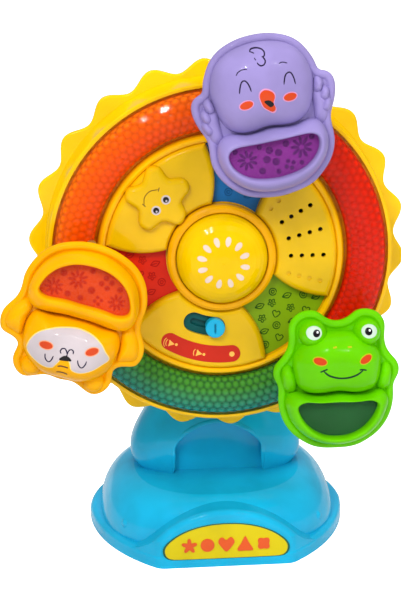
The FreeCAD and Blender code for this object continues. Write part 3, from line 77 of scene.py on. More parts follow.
# --- colour and shaders -----------------------------------------------------------------------
def paint(colour: Colour, share: float = 1.0) -> tuple[float, float, float, float]:
    """Turns an sRGB colour into the linear one that a shader takes.

    Args:
        colour: red, green and blue from 0 to 255.
        share: how bright to make it, 1 being as it is.

    Returns:
        Linear red, green, blue and an alpha of 1.
    """
    value = np.clip(np.array(colour, float) * share / 255.0, 0.0, 1.0)
    linear = np.where(value <= 0.04045, value / 12.92, ((value + 0.055) / 1.055) ** 2.4)
    return (*linear.tolist(), 1.0)


class Shader:
    """A new material with its main shader, and short ways to add nodes to it."""

    def __init__(self, name: str) -> None:
        """Makes the material, with its pattern space on Object coordinates.

        Args:
            name: the material's name.
        """
        self.material = bpy.data.materials.new(name)
        self.material.use_nodes = True
        self.tree = self.material.node_tree
        self.surface = self.tree.nodes["Principled BSDF"]
        self.position = self.add("ShaderNodeTexCoord").outputs["Object"]

    def add(self, kind: str, **settings: object) -> bpy.types.Node:
        """Adds a node and sets its own fields.

        Args:
            kind: the node's type.
            settings: its fields by name.

        Returns:
            The node.
        """
        node = self.tree.nodes.new(kind)
        for key, value in settings.items():
            setattr(node, key, value)
        return node

    def join(self, source: Socket, target: Socket) -> None:
        """Links an output to an input."""
        self.tree.links.new(source, target)

    def noise(self, scale: float, detail: float = 3.0) -> Socket:
        """Clouds over the object.

        Args:
            scale: how many to a metre.
            detail: how many finer layers they have.

        Returns:
            Their strength, 0 to 1.
        """
        node = self.add("ShaderNodeTexNoise")
        node.inputs["Scale"].default_value = scale
        node.inputs["Detail"].default_value = detail
        self.join(self.position, node.inputs["Vector"])
        return node.outputs["Fac"]

    def attribute(self, name: str) -> Socket:
        """A number that the mesh holds at each point."""
        return self.add("ShaderNodeAttribute", attribute_name=name).outputs["Fac"]

    def ramp(self, value: Socket, stops: list[tuple[float, tuple]]) -> Socket:
        """A colour for each value, straight between the stops.

        Args:
            value: what to colour by.
            stops: places from 0 to 1, each with its colour.

        Returns:
            The colour.
        """
        node = self.add("ShaderNodeValToRGB")
        line = node.color_ramp.elements
        while len(line) < len(stops):
            line.new(1.0)
        for element, (place, colour) in zip(line, stops):
            element.position = place
            element.color = colour
        self.join(value, node.inputs["Fac"])
        return node.outputs["Color"]

    def spread(self, value: Socket, low: float, high: float) -> Socket:
        """Carries 0..1 over to low..high.

        Args:
            value: a number from 0 to 1.
            low: what 0 becomes.
            high: what 1 becomes.

        Returns:
            The number in its new span.
        """
        node = self.add("ShaderNodeMapRange")
        node.inputs["To Min"].default_value = low
        node.inputs["To Max"].default_value = high
        self.join(value, node.inputs["Value"])
        return node.outputs["Result"]

    def mix(self, factor: Socket | None, first: Socket, second: Socket,
            blend: str = "MIX") -> Socket:
        """Blends two colours.

        Args:
            factor: the second colour's share, or None for all of it.
            first: the colour under it.
            second: the colour over it.
            blend: how the second is laid on.

        Returns:
            The blend.
        """
        node = self.add("ShaderNodeMix", data_type="RGBA", blend_type=blend)
        colours = [socket for socket in node.inputs if socket.type == "RGBA"]
        node.inputs[0].default_value = 1.0
        if factor is not None:
            self.join(factor, node.inputs[0])
        self.join(first, colours[0])
        self.join(second, colours[1])
        return [socket for socket in node.outputs if socket.type == "RGBA"][0]

    def bump(self, height: Socket, depth: float) -> None:
        """Roughens the surface.

        Args:
            height: the relief, 0 to 1.
            depth: what 1 stands for, in millimetres.
        """
        node = self.add("ShaderNodeBump")
        node.inputs["Strength"].default_value = 1.0
        node.inputs["Distance"].default_value = depth * MM
        self.join(height, node.inputs["Height"])
        self.join(node.outputs["Normal"], self.surface.inputs["Normal"])

    def radius(self) -> Socket:
        """The distance from the wheel's axis.

        Returns:
            The distance as a share of RING_SPAN millimetres.
        """
        away = self.add("ShaderNodeVectorMath", operation="SUBTRACT")
        away.inputs[1].default_value = HUB.tolist()
        flat = self.add("ShaderNodeVectorMath", operation="MULTIPLY")
        scale = 1.0 / (RING_SPAN * MM)
        flat.inputs[1].default_value = (scale, 0.0, scale)
        length = self.add("ShaderNodeVectorMath", operation="LENGTH")
        self.join(self.position, away.inputs[0])
        self.join(away.outputs[0], flat.inputs[0])
        self.join(flat.outputs[0], length.inputs[0])
        return length.outputs["Value"]


@dataclass(frozen=True)
class Plastic:
    """Glossy moulded plastic: faint clouds of colour, a fine skin and a clear gloss over it."""

    name: str
    colour: Colour
    shade: float = 0.93
    roughness: float = 0.2
    coat: float = 0.25
    sheen: float = 0.12
    alpha: float = 1.0
    skin: float = 0.012

    def clouded(self, shader: Shader, colour: Colour) -> Socket:
        """A colour, clouded between a shade of it and itself."""
        stops = [(CLOUD_DARK, paint(colour, self.shade)), (CLOUD_LIGHT, paint(colour))]
        return shader.ramp(shader.noise(CLOUD_SCALE), stops)

    def colouring(self, shader: Shader) -> Socket:
        """The base colour, clouded."""
        return self.clouded(shader, self.colour)

    def material(self) -> bpy.types.Material:
        """Builds the material, once for each finish.

        Returns:
            The material, new or made before.
        """
        made = bpy.data.materials.get("finish_" + self.name)
        if made is not None:
            return made
        shader = Shader("finish_" + self.name)
        surface = shader.surface.inputs
        shader.join(self.colouring(shader), surface["Base Color"])
        grain = shader.noise(SKIN_SCALE)
        rough = shader.spread(grain, self.roughness * SKIN_POLISH, self.roughness * SKIN_WEAR)
        shader.join(rough, surface["Roughness"])
        shader.bump(grain, self.skin)
        surface["Specular IOR Level"].default_value = self.sheen
        surface["Coat Weight"].default_value = self.coat
        surface["Coat Roughness"].default_value = COAT_ROUGHNESS
        surface["Alpha"].default_value = self.alpha
        return shader.material


@dataclass(frozen=True)
class RingShadedPlastic(Plastic):
    """Plastic whose tone follows the distance from the wheel's axis: painted shade on one moulding,
    darker towards the axis.
    """

    rings: tuple[tuple[float, Colour], ...] = ()

    def colouring(self, shader: Shader) -> Socket:
        """A tone for each radius, painted shade that darkens towards the axis, clouded a little.

        Args:
            shader: the material that it is for.

        Returns:
            The base colour.
        """
        stops = [(radius / RING_SPAN, paint(colour)) for radius, colour in self.rings]
        tone = shader.ramp(shader.radius(), stops)
        return shader.mix(None, tone, self.clouded(shader, PURE_WHITE), "MULTIPLY")


@dataclass(frozen=True)
class BubbleLining(Plastic):
    """The bubbled lining of a window: toned outwards, with painted shade darkening it between the
    bubbles and its full colour on them.
    """

    outer: Colour = PURE_WHITE
    painted_crevice_shade: float = 0.6

    def toned(self, shader: Shader, across: Socket, share: float) -> Socket:
        """The inner colour turning into the outer one, both at a share of their brightness."""
        stops = [(TONE_FROM, paint(self.colour, share)), (TONE_TO, paint(self.outer, share))]
        return shader.ramp(across, stops)

    def colouring(self, shader: Shader) -> Socket:
        """Two tones across the ring, darkened by painted shade where the bubble attribute is low,
        between the bubbles.

        Args:
            shader: the material that it is for.

        Returns:
            The base colour.
        """
        across, bubble = shader.attribute("across"), shader.attribute("bubble")
        low = self.toned(shader, across, self.painted_crevice_shade)
        return shader.mix(bubble, low, self.toned(shader, across, 1.0))


@dataclass(frozen=True)
class Metal(Plastic):
    """Bright or brushed steel."""

    def material(self) -> bpy.types.Material:
        """The plastic's skin over a metal body.

        Returns:
            The material, new or made before.
        """
        made = super().material()
        made.node_tree.nodes["Principled BSDF"].inputs["Metallic"].default_value = 1.0
        return made


class Finish(Enum):
    """Every finish on the toy, by what wears it."""

    STAND = Plastic("stand_blue", (20, 180, 226), roughness=0.16, coat=0.3)
    FOOT = Plastic("foot_rubber", (45, 45, 48), roughness=0.7, coat=0.0, skin=0.05)
    STEEL = Metal("screw_steel", (190, 190, 195), roughness=0.3, coat=0.0, sheen=0.5)
    SIGN = Plastic("sign_yellow", (220, 200, 12), roughness=0.3)
    SIGN_EDGE = Plastic("sign_edge_green", (30, 95, 70), roughness=0.4)
    SIGN_MARK = Plastic("sign_mark_orange", (226, 90, 40), roughness=0.35)
    BLACK = Plastic("inner_black", (30, 30, 32), roughness=0.5, coat=0.0)
    WHITE = Plastic("inner_white", (225, 225, 220), roughness=0.4)
    BOARD = Plastic("board_green", (25, 95, 50), roughness=0.45)
    CELL = Metal("cell_metal", (185, 187, 190), roughness=0.28, coat=0.1)
    # the wheel's ring tones are painted shade on one yellow moulding, darker towards the axis
    WHEEL = RingShadedPlastic("wheel_yellow", (250, 200, 10), roughness=0.17, coat=0.25,
                          rings=((57.0, (230, 184, 2)), (60.4, (246, 186, 4)),
                                 (64.0, (250, 190, 4)), (87.0, (254, 196, 4)),
                                 (91.8, (254, 206, 2))))
    COLLAR = Plastic("collar_orange", (238, 170, 2), roughness=0.16, coat=0.2, sheen=0.06)
    BUTTON = Plastic("button_yellow", (240, 194, 0), roughness=0.15, coat=0.2, sheen=0.06)
    SEED = Plastic("seed_cream", (232, 208, 192), roughness=0.3)
    KNOB = Plastic("knob_blue", (20, 176, 222), roughness=0.2)
    # a darker copy of the knob's blue, laid in its groove: painted shade
    KNOB_GROOVE_SHADE = Plastic("knob_groove_shade", (6, 118, 150), roughness=0.35, coat=0.1)
    # dark teal for the switch plate and the strip behind the slot: painted shade on the blue
    # shutter inside the slot
    SLOT_SHADE = Plastic("slot_shade_teal", (14, 84, 84), roughness=0.35, coat=0.1, sheen=0.06)
    LABEL = Plastic("label_red", (196, 44, 28), roughness=0.4, coat=0.1, sheen=0.06)
    LABEL_MARK = Plastic("label_mark", (255, 188, 84), roughness=0.4)
    COVER_ORANGE = Plastic("window_orange", (255, 84, 4), roughness=0.07, coat=0.5, sheen=0.06,
                           alpha=0.2)
    COVER_RED = Plastic("window_red", (236, 30, 2), roughness=0.07, coat=0.5, sheen=0.06,
                        alpha=0.2)
    COVER_GREEN = Plastic("window_green", (34, 132, 76), roughness=0.07, coat=0.5, sheen=0.06,
                          alpha=0.12)
    # the linings' crevice shares darken them between the bubbles: painted shade
    LINING_ORANGE = BubbleLining("lining_orange", (250, 84, 2), outer=(255, 128, 6), painted_crevice_shade=0.7)
    LINING_RED = BubbleLining("lining_red", (230, 36, 2), outer=(240, 44, 4), painted_crevice_shade=0.66)
    LINING_GREEN = BubbleLining("lining_green", (84, 160, 26), outer=(30, 152, 150), painted_crevice_shade=0.28)
    FILM_BLUE = Plastic("film_blue", (22, 104, 168), roughness=0.45, coat=0.1)
    FILM_RED = Plastic("film_red", (212, 36, 6), roughness=0.45, coat=0.1)
    FILM_GREEN = Plastic("film_green", (128, 164, 12), roughness=0.45, coat=0.1)
    DOODLE_GREEN = Plastic("doodle_green", (44, 84, 10), roughness=0.5, coat=0.0)
    DOODLE_RED = Plastic("doodle_red", (168, 16, 4), roughness=0.5, coat=0.0)
    DOODLE_BLUE = Plastic("doodle_blue", (14, 78, 132), roughness=0.5, coat=0.0)
    BIRD = Plastic("bird_lavender", (152, 138, 196), roughness=0.2, coat=0.18, sheen=0.08)
    CUB = Plastic("cub_orange", (248, 174, 0), roughness=0.2, coat=0.16, sheen=0.06)
    FROG = Plastic("frog_green", (104, 206, 0), roughness=0.2, coat=0.16, sheen=0.06)
    PANE_PURPLE = Plastic("window_purple", (160, 70, 170), roughness=0.06, coat=0.6, alpha=0.12)
    PANE_CORAL = Plastic("window_coral", (240, 80, 40), roughness=0.06, coat=0.6, alpha=0.12)
    PANE_GREEN = Plastic("window_dark_green", (40, 110, 60), roughness=0.06, coat=0.6, alpha=0.12)
    CARD_PURPLE = Plastic("card_purple", (130, 42, 134), roughness=0.5, coat=0.0, shade=0.88)
    CARD_CORAL = Plastic("card_coral", (218, 72, 16), roughness=0.5, coat=0.0, shade=0.9)
    CARD_GREEN = Plastic("card_green", (38, 98, 46), roughness=0.5, coat=0.0, shade=0.85)
    PRINT_PURPLE = Plastic("print_purple", (58, 4, 72), roughness=0.5, coat=0.0)
    PRINT_RED = Plastic("print_red", (176, 18, 4), roughness=0.5, coat=0.0)
    INK = Plastic("ink_black", (22, 18, 22), roughness=0.25)
    INK_PLUM = Plastic("ink_plum", (40, 30, 62), roughness=0.35)
    INK_BROWN = Plastic("ink_brown", (104, 62, 18), roughness=0.35)
    INK_PINE = Plastic("ink_pine", (14, 62, 24), roughness=0.35)
    BLUSH = Plastic("blush_red", (214, 70, 24), roughness=0.35)
    BLUSH_EDGE = Plastic("blush_edge", (245, 165, 120), roughness=0.35)
    BLUSH_LILAC = Plastic("blush_lilac", (222, 150, 190), roughness=0.35)
    BLUSH_GREEN = Plastic("blush_lime", (190, 190, 20), roughness=0.35)
    MASK = Plastic("mask_white", (206, 194, 198), roughness=0.3)
    MASK_EDGE = Plastic("mask_cream", (255, 226, 130), roughness=0.3)
    EYE_WHITE = Plastic("eye_white", (206, 226, 208), roughness=0.2)
    SHINE = Plastic("eye_shine", (255, 255, 255), roughness=0.3)


# --- lines and surfaces -----------------------------------------------------------------------
def even_angles(count: int) -> np.ndarray:
    """So many angles round a circle, from 0."""
    return np.linspace(0, FULL_CIRCLE, count, endpoint=False)


def on_rays(reach: float | np.ndarray, angles: np.ndarray) -> np.ndarray:
    """Points at a distance along each angle: (r cos a, r sin a)."""
    return np.column_stack((reach * np.cos(angles), reach * np.sin(angles)))


def turned(points: np.ndarray, degrees: float) -> np.ndarray:
    """Points turned anticlockwise about the origin: (x cos a - y sin a, x sin a + y cos a)."""
    lean = math.radians(degrees)
    return points @ np.array([[math.cos(lean), math.sin(lean)], [-math.sin(lean), math.cos(lean)]])


def raised(flat: np.ndarray, height: float | np.ndarray) -> np.ndarray:
    """Rows of (x, y) given a height each, or one for each point."""
    tall = np.broadcast_to(height, flat.shape[:2])
    return np.concatenate((flat, tall[..., None]), axis=2)


def grown(line: np.ndarray, centre: Pair, share: float) -> np.ndarray:
    """A line made larger or smaller about a centre."""
    return np.array(centre) + share * (line - np.array(centre))


def reach_at(away: np.ndarray, angles: np.ndarray) -> np.ndarray:
    """How far a loop about the origin reaches at each angle, where each ray meets it once.

    Args:
        away: the loop's points, (count, 2).
        angles: where to look, in radians.

    Returns:
        The distances, straight between the loop's points.
    """
    turn = np.arctan2(away[:, 1], away[:, 0])
    order = np.argsort(turn)
    return np.interp(angles, turn[order], np.hypot(*away.T)[order], period=FULL_CIRCLE)


class Outline:
    """A smooth closed line through a few points: a periodic cubic spline by chord length."""

    def __init__(self, points: list[Pair]) -> None:
        """Solves the spline's bends, so that its slope and bend run on through every point.

        Args:
            points: what the line passes through, in order.
        """
        knots = np.array(points, float)
        rows = np.arange(len(knots))
        after = np.roll(knots, -1, axis=0) - knots
        chord = np.linalg.norm(after, axis=1)
        before = np.roll(chord, 1)
        system = np.zeros((len(knots), len(knots)))
        system[rows, rows - 1] = before
        system[rows, rows] = 2 * (before + chord)
        system[rows, (rows + 1) % len(knots)] = chord
        slope = after / chord[:, None]
        bend = np.linalg.solve(system, 6 * (slope - np.roll(slope, 1, axis=0)))
        self.knots, self.chord, self.bend = knots, chord, bend

    def line(self, steps: int = 24) -> np.ndarray:
        """Points along the line.

        With t the share of a segment, a point is (1 - t) first + t last, plus a sixth of the
        chord's square times ((1 - t)^3 - (1 - t)) first bend + (t^3 - t) last bend.

        Args:
            steps: how many to a segment.

        Returns:
            The points, (count, 2).
        """
        share = np.linspace(0, 1, steps, endpoint=False)[None, :, None]
        first, last = self.knots[:, None], np.roll(self.knots, -1, axis=0)[:, None]
        bend_a, bend_b = self.bend[:, None], np.roll(self.bend, -1, axis=0)[:, None]
        square = (self.chord ** 2)[:, None, None] / 6
        away = 1 - share
        bow = (away ** 3 - away) * bend_a + (share ** 3 - share) * bend_b
        return (first * away + last * share + square * bow).reshape(-1, 2)

    def around(self, centre: Pair, count: int = AROUND) -> np.ndarray:
        """The line's points at even angles about a centre.

        Args:
            centre: a point from which each ray meets the line once.
            count: how many points.

        Returns:
            The points, (count, 2).
        """
        angles = even_angles(count)
        return np.array(centre) + on_rays(reach_at(self.line() - np.array(centre), angles), angles)


def moved_in(line: np.ndarray, ways: np.ndarray | list[float]) -> np.ndarray:
    """A closed line moved inwards along its normals.

    Args:
        line: its points, (count, 2), anticlockwise.
        ways: how far, once for each new line.

    Returns:
        The new lines, (ways, count, 2).
    """
    along = np.roll(line, -1, axis=0) - np.roll(line, 1, axis=0)
    along /= np.linalg.norm(along, axis=1)[:, None]
    inward = np.column_stack((-along[:, 1], along[:, 0]))
    return line[None] + np.asarray(ways)[:, None, None] * inward[None]


def mirrored(half: list[Pair]) -> list[Pair]:
    """The whole loop of an outline given from top to bottom on its right side."""
    return half + [(-x, y) for x, y in reversed(half[1:-1])]


def polar(radius: float, angle: float) -> Pair:
    """A point at a radius and an angle in degrees."""
    turn = math.radians(angle)
    return radius * math.cos(turn), radius * math.sin(turn)


def ellipse(centre: Pair, across: float, up: float, turn: float = 0.0,
            count: int = 28) -> np.ndarray:
    """An oval about a centre: (across cos a, up sin a), turned.

    Args:
        centre: its middle.
        across: its half width.
        up: its half height.
        turn: how far it leans, in degrees.
        count: how many points.

    Returns:
        The points, (count, 2).
    """
    angles = even_angles(count)
    oval = np.column_stack((across * np.cos(angles), up * np.sin(angles)))
    return turned(oval, turn) + np.array(centre)


def seed(centre: Pair, length: float, width: float, turn: float, count: int = 20) -> np.ndarray:
    """A teardrop: an oval whose width is multiplied by 0.85 + 0.15 cos a along its length.

    Args:
        centre: its middle.
        length: from end to end.
        width: across it.
        turn: where its round end points, in degrees.
        count: how many points.

    Returns:
        The points, (count, 2).
    """
    angles = even_angles(count)
    along = 0.5 * length * np.cos(angles)
    across = 0.5 * width * np.sin(angles) * (0.85 + 0.15 * np.cos(angles))
    return turned(np.column_stack((along, across)), turn) + np.array(centre)


@dataclass
class Skin:
    """A closed surface on a grid of points, (rows, columns, 3) in millimetres.

    The last column joins the first. In a ring the last row joins the first as well; otherwise
    each end row closes on a pole at its mean.
    """

    points: np.ndarray
    ring: bool = False
    finish: int = 0
    values: dict[str, np.ndarray] = field(default_factory=dict)

    def mesh(self) -> tuple[np.ndarray, np.ndarray, np.ndarray]:
        """Works out the corners and faces, outwards by the sign of the enclosed volume.

        Returns:
            The points, the four-cornered faces and the three-cornered ones.
        """
        rows, columns = self.points.shape[:2]
        index = np.arange(rows * columns).reshape(rows, columns)
        beside = np.roll(index, -1, axis=1)
        above, above_beside = np.roll(index, -1, axis=0), np.roll(beside, -1, axis=0)
        quads = np.stack((index, beside, above_beside, above), axis=-1)
        quads = (quads if self.ring else quads[:-1]).reshape(-1, 4)
        points = self.points.reshape(-1, 3)
        triangles = np.zeros((0, 3), int)
        if not self.ring:
            poles = self.points[[0, -1]].mean(axis=1)
            foot, head = len(points), len(points) + 1
            points = np.vstack((points, poles))
            low = np.column_stack((beside[0], index[0], np.full(columns, foot)))
            high = np.column_stack((index[-1], beside[-1], np.full(columns, head)))
            triangles = np.vstack((low, high))
        split = np.vstack((quads[:, :3], quads[:, [0, 2, 3]], triangles))
        corners = points[split]
        volume = np.einsum("ij,ij->i", corners[:, 0], np.cross(corners[:, 1], corners[:, 2])).sum()
        if volume < 0:
            quads, triangles = quads[:, ::-1], triangles[:, ::-1]
        return points, quads, triangles


@dataclass(frozen=True)
class Seat:
    """Where a flat drawing goes: turned about its own origin, moved and stood up at the wheel."""

    turn: float = 0.0
    centre: Pair = (0.0, 0.0)
    front: float = HUB[1]
    height: float = HUB[2]

    def place(self, points: np.ndarray) -> np.ndarray:
        """Carries flat millimetres to upright metres: z runs forwards, y up.

        Args:
            points: (count, 3) in the drawing.

        Returns:
            The points on the toy.
        """
        x, y = (turned(points[:, :2], self.turn) + np.array(self.centre)).T
        return np.column_stack((x * MM, self.front - points[:, 2] * MM, self.height + y * MM))


WHEEL_SEAT = Seat(turn=WHEEL_TURN)
STAND_SEAT = Seat(front=0.0, height=0.0)


def build(name: str, skins: list[Skin], seat: Seat, finishes: list[Finish], body: str,
          replaces: tuple[str, ...] = ()) -> bpy.types.Object:
    """Joins skins to one piece, puts it on its seat and lets it ride on its body.

    Args:
        name: the piece's name.
        skins: its surfaces; each names its finish by its place in `finishes`.
        seat: where the drawing stands.
        finishes: the piece's materials.
        body: the body that it moves with.
        replaces: the nodes that it stands for.

    Returns:
        The new object.
    """
    corners, faces, finish_of = [], [], []
    values = {key: [] for skin in skins for key in skin.values}
    count = 0
    for skin in skins:
        points, quads, triangles = skin.mesh()
        faces += (quads + count).tolist() + (triangles + count).tolist()
        finish_of.append(np.full(len(quads) + len(triangles), skin.finish))
        for key, store in values.items():
            own = skin.values.get(key, np.zeros(skin.points.shape[:2])).ravel()
            store.append(np.pad(own, (0, len(points) - len(own)), mode="edge"))
        corners.append(points)
        count += len(points)
    mesh = bpy.data.meshes.new(name)
    mesh.from_pydata(seat.place(np.vstack(corners)).tolist(), [], faces)
    mesh.polygons.foreach_set("material_index", np.concatenate(finish_of).astype(np.int32))
    mesh.polygons.foreach_set("use_smooth", np.ones(len(faces), bool))
    for key, store in values.items():
        mesh.attributes.new(key, "FLOAT", "POINT").data.foreach_set(
            "value", np.concatenate(store).astype(np.float32))
    mesh.set_sharp_from_angle(angle=math.radians(SHARP_ANGLE))
    mesh.update()
    for finish in finishes:
        mesh.materials.append(finish.value.material())
    piece = bpy.data.objects.new(name, mesh)
    bpy.context.scene.collection.objects.link(piece)
    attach(piece, body)
    if replaces:
        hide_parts(*replaces)
    LOG.info("built %s: %d faces", name, len(faces))
    return piece


def dress(finish: Finish, *nodes: str) -> None:
    """Gives carried-over nodes a finish, through their objects' material slots.

    Args:
        finish: what they wear.
        nodes: their names.
    """
    for node in nodes:
        for slot in frame["nodes"][node].material_slots:
            slot.material = finish.value.material()
        LOG.info("dressed %s in %s", node, finish.value.name)


@dataclass(frozen=True)
class Pillow:
    """A cushion-shaped rise over an outline.

    With s the share of the way from the centre to the outline and cos a = s^(p/2), its height
    is low + (top - low) * (sin a)^(2/q): full in the middle, and steep at the edge.
    """

    outline: np.ndarray
    centre: Pair
    low: float
    top: float
    spread: float = 2.6
    swell: float = 1.9

    def skin(self, rows: int = 26) -> Skin:
        """The rise as rows of the outline that shrink to the centre, on a flat underside.

        Args:
            rows: how many.

        Returns:
            The closed pillow.
        """
        rise = np.linspace(0, QUARTER, rows, endpoint=False)
        share = np.cos(rise) ** (2 / self.spread)
        height = self.low + (self.top - self.low) * np.sin(rise) ** (2 / self.swell)
        away = self.outline - np.array(self.centre)
        flat = np.array(self.centre) + share[:, None, None] * away[None]
        return Skin(raised(flat, height[:, None]))

    def height(self, spots: np.ndarray) -> np.ndarray:
        """How high the pillow is over some spots.

        Args:
            spots: (x, y) in the last axis.

        Returns:
            The heights, and the low level outside the outline.
        """
        away = spots - np.array(self.centre)
        turn = np.arctan2(away[..., 1], away[..., 0])
        reach = reach_at(self.outline - np.array(self.centre), turn)
        share = np.clip(np.hypot(away[..., 0], away[..., 1]) / reach, 0, 1)
        climb = np.arccos(share ** (self.spread / 2))
        return self.low + (self.top - self.low) * np.sin(climb) ** (2 / self.swell)


PRINT_DEPTH = 0.25  # how far a print's edge reaches under its ground, in millimetres
PRINT_MIDDLE = 0.06  # the size of a print's last ring, as a share of its outline


def patch(outline: np.ndarray, ground: Ground, lift: float = 0.07, finish: int = 0,
          rows: int = 7) -> Skin:
    """A thin printed patch that follows the ground under it.

    Its rows shrink from the outline to the middle. The first lies a little under the ground,
    and the others stand proud of it by `lift`.

    Args:
        outline: the patch's edge, (count, 2).
        ground: gives the height under each (x, y).
        lift: how proud the print stands, in millimetres.
        finish: its material's place in the piece.
        rows: how many rings it has.

    Returns:
        The patch.
    """
    middle = outline.mean(axis=0)
    share = np.concatenate(([1.0], np.linspace(1.0, PRINT_MIDDLE, rows)))
    flat = middle + share[:, None, None] * (outline - middle)[None]
    proud = np.full((len(share), 1), lift)
    proud[0] = -PRINT_DEPTH
    return Skin(raised(flat, ground(flat) + proud), finish=finish)


def stroke(points: list[Pair], width: float, ground: Ground, lift: float = 0.09, finish: int = 0,
           steps: int = 28) -> Skin:
    """A drawn line that follows the ground: a flat oval section carried along a smooth path.

    Args:
        points: what the line passes through.
        width: its full width in millimetres.
        ground: gives the height under each (x, y).
        lift: half the oval's height.
        finish: its material's place in the piece.
        steps: how many sections it has.

    Returns:
        The stroke.
    """
    path = smooth_path(np.array(points, float), steps)
    along = np.gradient(path, axis=0)
    along /= np.linalg.norm(along, axis=1)[:, None]
    side = np.column_stack((-along[:, 1], along[:, 0]))
    share = np.linspace(-1, 1, steps)
    half = 0.5 * width * np.clip(1 - np.abs(share) ** 9, 0.05, 1) ** 0.5
    around = even_angles(10)
    flat = path[:, None] + side[:, None] * (half[:, None] * np.cos(around)[None])[..., None]
    return Skin(raised(flat, ground(flat) + lift * np.sin(around)[None]), finish=finish)


def smooth_path(points: np.ndarray, steps: int) -> np.ndarray:
    """A smooth line through points: each coordinate is a cubic through four neighbours.

    Args:
        points: what it passes through, (count, 2).
        steps: how many points it gets, at even ways along it.

    Returns:
        The line, (steps, 2).
    """
    chord = np.concatenate(([0.0], np.cumsum(np.linalg.norm(np.diff(points, axis=0), axis=1))))
    ends = np.vstack((2 * points[0] - points[1], points, 2 * points[-1] - points[-2]))
    place = np.interp(np.linspace(0, chord[-1], steps), chord, np.arange(len(points)))
    index = np.clip(place.astype(int), 0, len(points) - 2)
    t = (place - index)[:, None]
    before, first, last, after = (ends[index + shift] for shift in range(4))
    square = 2 * before - 5 * first + 4 * last - after
    cube = 3 * first - before - 3 * last + after
    return 0.5 * (2 * first + (last - before) * t + square * t ** 2 + cube * t ** 3)


def level(height: float) -> Ground:
    """Flat ground at a height."""
    return lambda flat: np.full(flat.shape[:-1], height)


